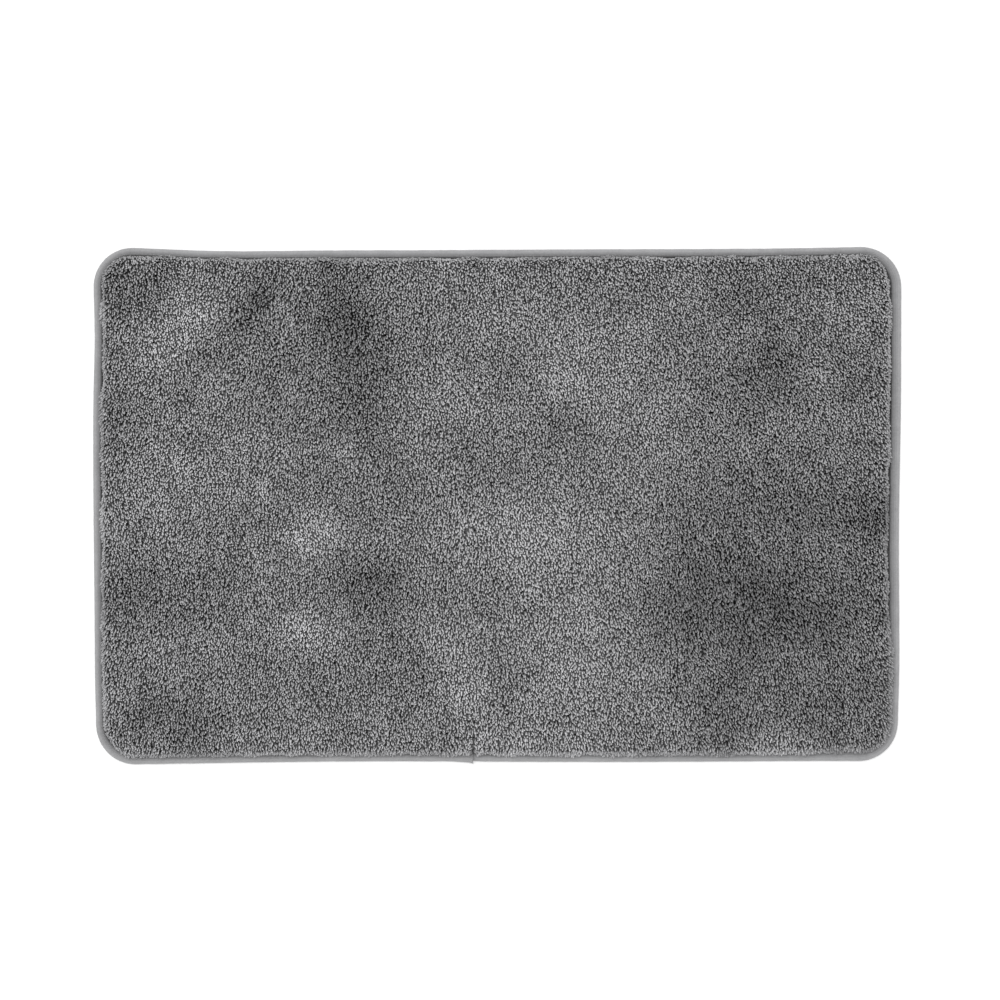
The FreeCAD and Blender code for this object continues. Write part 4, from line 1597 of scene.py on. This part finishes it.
def ribbon_mesh():
    """The blank label: one ribbon doubled back on itself, both ends sewn in under the binding."""
    line = ribbon_line()
    walked = np.append(0.0, np.cumsum(np.linalg.norm(np.diff(line, axis=0), axis=1)))
    tangent = np.gradient(line, axis=0)
    tangent /= np.linalg.norm(tangent, axis=1)[:, None]
    normal = np.column_stack([tangent[:, 1], -tangent[:, 0]])
    x = np.linspace(LABEL_LOW.x, LABEL_HIGH.x, LABEL_COLUMNS)
    from_middle = x - (LABEL_LOW.x + LABEL_HIGH.x) / 2
    sides = []
    for side in (-1, 1):
        y, level = (line + normal * side * LABEL_PLY / 2)[..., None].transpose(1, 0, 2)
        free = (LABEL_HIGH.y - y) / (LABEL_HIGH.y - LABEL_LOW.y)
        ripple = LABEL_RIPPLE * free * np.sin(from_middle * LABEL_RIPPLE_RATE + LABEL_RIPPLE_START)
        sides.append(np.dstack(np.broadcast_arrays(x, y, np.maximum(level + ripple, FLOOR_GAP))))
    loops = np.concatenate([sides[0], sides[1][:, ::-1]], axis=1)
    rows, columns = loops.shape[:2]
    faces = quads_between(rows, columns).tolist()
    for first in (0, (rows - 1) * columns):
        for i in range(columns // 2 - 1):
            a, b = first + i, first + columns - 1 - i
            faces.append([a, a + 1, b - 1, b])
    mesh = bpy.data.meshes.new("care_label")
    mesh.from_pydata(settled(loops).reshape(-1, 3).tolist(), [], faces)
    keep_on_points(mesh, "along", np.repeat(walked, columns))
    turn_outwards(mesh)
    mesh.shade_smooth()
    return mesh, float(walked[-1])


class BATHMAT_OT_label(Operator):
    """Sew in the blank doubled satin label at the back edge"""
    bl_idname = "bath_mat.label"
    bl_label = "Care label"

    def execute(self, context):
        settings = context.scene.bath_mat_underside
        mesh, length = ribbon_mesh()
        label = new_piece("care_ribbon", mesh, label_satin(settings))
        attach(label, BODY)
        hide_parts("care_label")
        return {"FINISHED"}


# ---- stage ----------------------------------------------------------------

class BATHMAT_OT_stage(Operator):
    """Lay the floor and set the lights and the camera"""
    bl_idname = "bath_mat.stage"
    bl_label = "Stage"

    def execute(self, context):
        settings = context.scene.bath_mat_stage
        scene = context.scene
        mesh = bpy.data.meshes.new("floor")
        shape = bmesh.new()
        bmesh.ops.create_circle(shape, cap_ends=True, segments=96, radius=FLOOR_RADIUS)
        shape.to_mesh(mesh)
        shape.free()
        graph = MaterialGraph("Floor")
        cloud = graph.noise(graph.object_place(), scale=3.0)
        finish = graph.finish(Base_Color=graph.shaded(settings.floor_colour, 0.992 + 0.016 * cloud),
                              Roughness=0.9, Specular_IOR_Level=0.1)
        new_piece("floor", mesh, finish)

        world = bpy.data.worlds.new("Studio")
        world.use_nodes = True
        back = next(n for n in world.node_tree.nodes if n.type == "BACKGROUND")
        back.inputs["Color"].default_value = (1.0, 1.0, 1.0, 1.0)
        back.inputs["Strength"].default_value = settings.sky_strength
        scene.world = world

        lamp = bpy.data.lights.new("key", "AREA")
        lamp.shape = "DISK"
        lamp.size = KEY_SIZE
        lamp.energy = settings.key_power
        key = bpy.data.objects.new("key", lamp)
        key.location = KEY_PLACE
        key.rotation_euler = (-Vector(KEY_PLACE)).to_track_quat("-Z", "Y").to_euler()
        scene.collection.objects.link(key)

        lens = bpy.data.cameras.new("camera")
        lens.lens = 100
        lens.sensor_width = 36
        lens.clip_end = 60
        camera = bpy.data.objects.new("camera", lens)
        camera.location = CAMERA_PLACE
        scene.collection.objects.link(camera)
        scene.camera = camera
        scene.view_settings.view_transform = "Standard"
        return {"FINISHED"}


# ---- add-on ---------------------------------------------------------------

class BATHMAT_PT_build(Panel):
    """Buttons that build the bath mat piece by piece"""
    bl_idname = "BATHMAT_PT_build"
    bl_label = "Bath Mat"
    bl_space_type = "VIEW_3D"
    bl_region_type = "UI"
    bl_category = "Bath Mat"

    def draw(self, context):
        layout = self.layout
        for name, operators in GROUPS.items():
            box = layout.box()
            settings = getattr(context.scene, name)
            for label in settings.__annotations__:
                box.prop(settings, label)
            for operator in operators:
                box.operator(operator.bl_idname)


GROUPS = {
    "bath_mat_pile": (BATHMAT_OT_pile, BATHMAT_OT_layers),
    "bath_mat_binding": (BATHMAT_OT_binding,),
    "bath_mat_seams": (BATHMAT_OT_seams,),
    "bath_mat_underside": (BATHMAT_OT_underside, BATHMAT_OT_label),
    "bath_mat_stage": (BATHMAT_OT_stage,),
}
SETTINGS = {
    "bath_mat_pile": PileSettings,
    "bath_mat_binding": BindingSettings,
    "bath_mat_seams": SeamSettings,
    "bath_mat_underside": UndersideSettings,
    "bath_mat_stage": StageSettings,
}
OPERATORS = [operator for operators in GROUPS.values() for operator in operators]
CLASSES = [*SETTINGS.values(), *OPERATORS, BATHMAT_PT_build]


def register():
    for cls in CLASSES:
        bpy.utils.register_class(cls)
    for name, settings in SETTINGS.items():
        setattr(bpy.types.Scene, name, PointerProperty(type=settings))


def unregister():
    for name in SETTINGS:
        delattr(bpy.types.Scene, name)
    for cls in reversed(CLASSES):
        bpy.utils.unregister_class(cls)


def main():
    register()
    for operator in OPERATORS:
        group, name = operator.bl_idname.split(".")
        getattr(getattr(bpy.ops, group), name)()


if __name__ == "__main__":
    main()
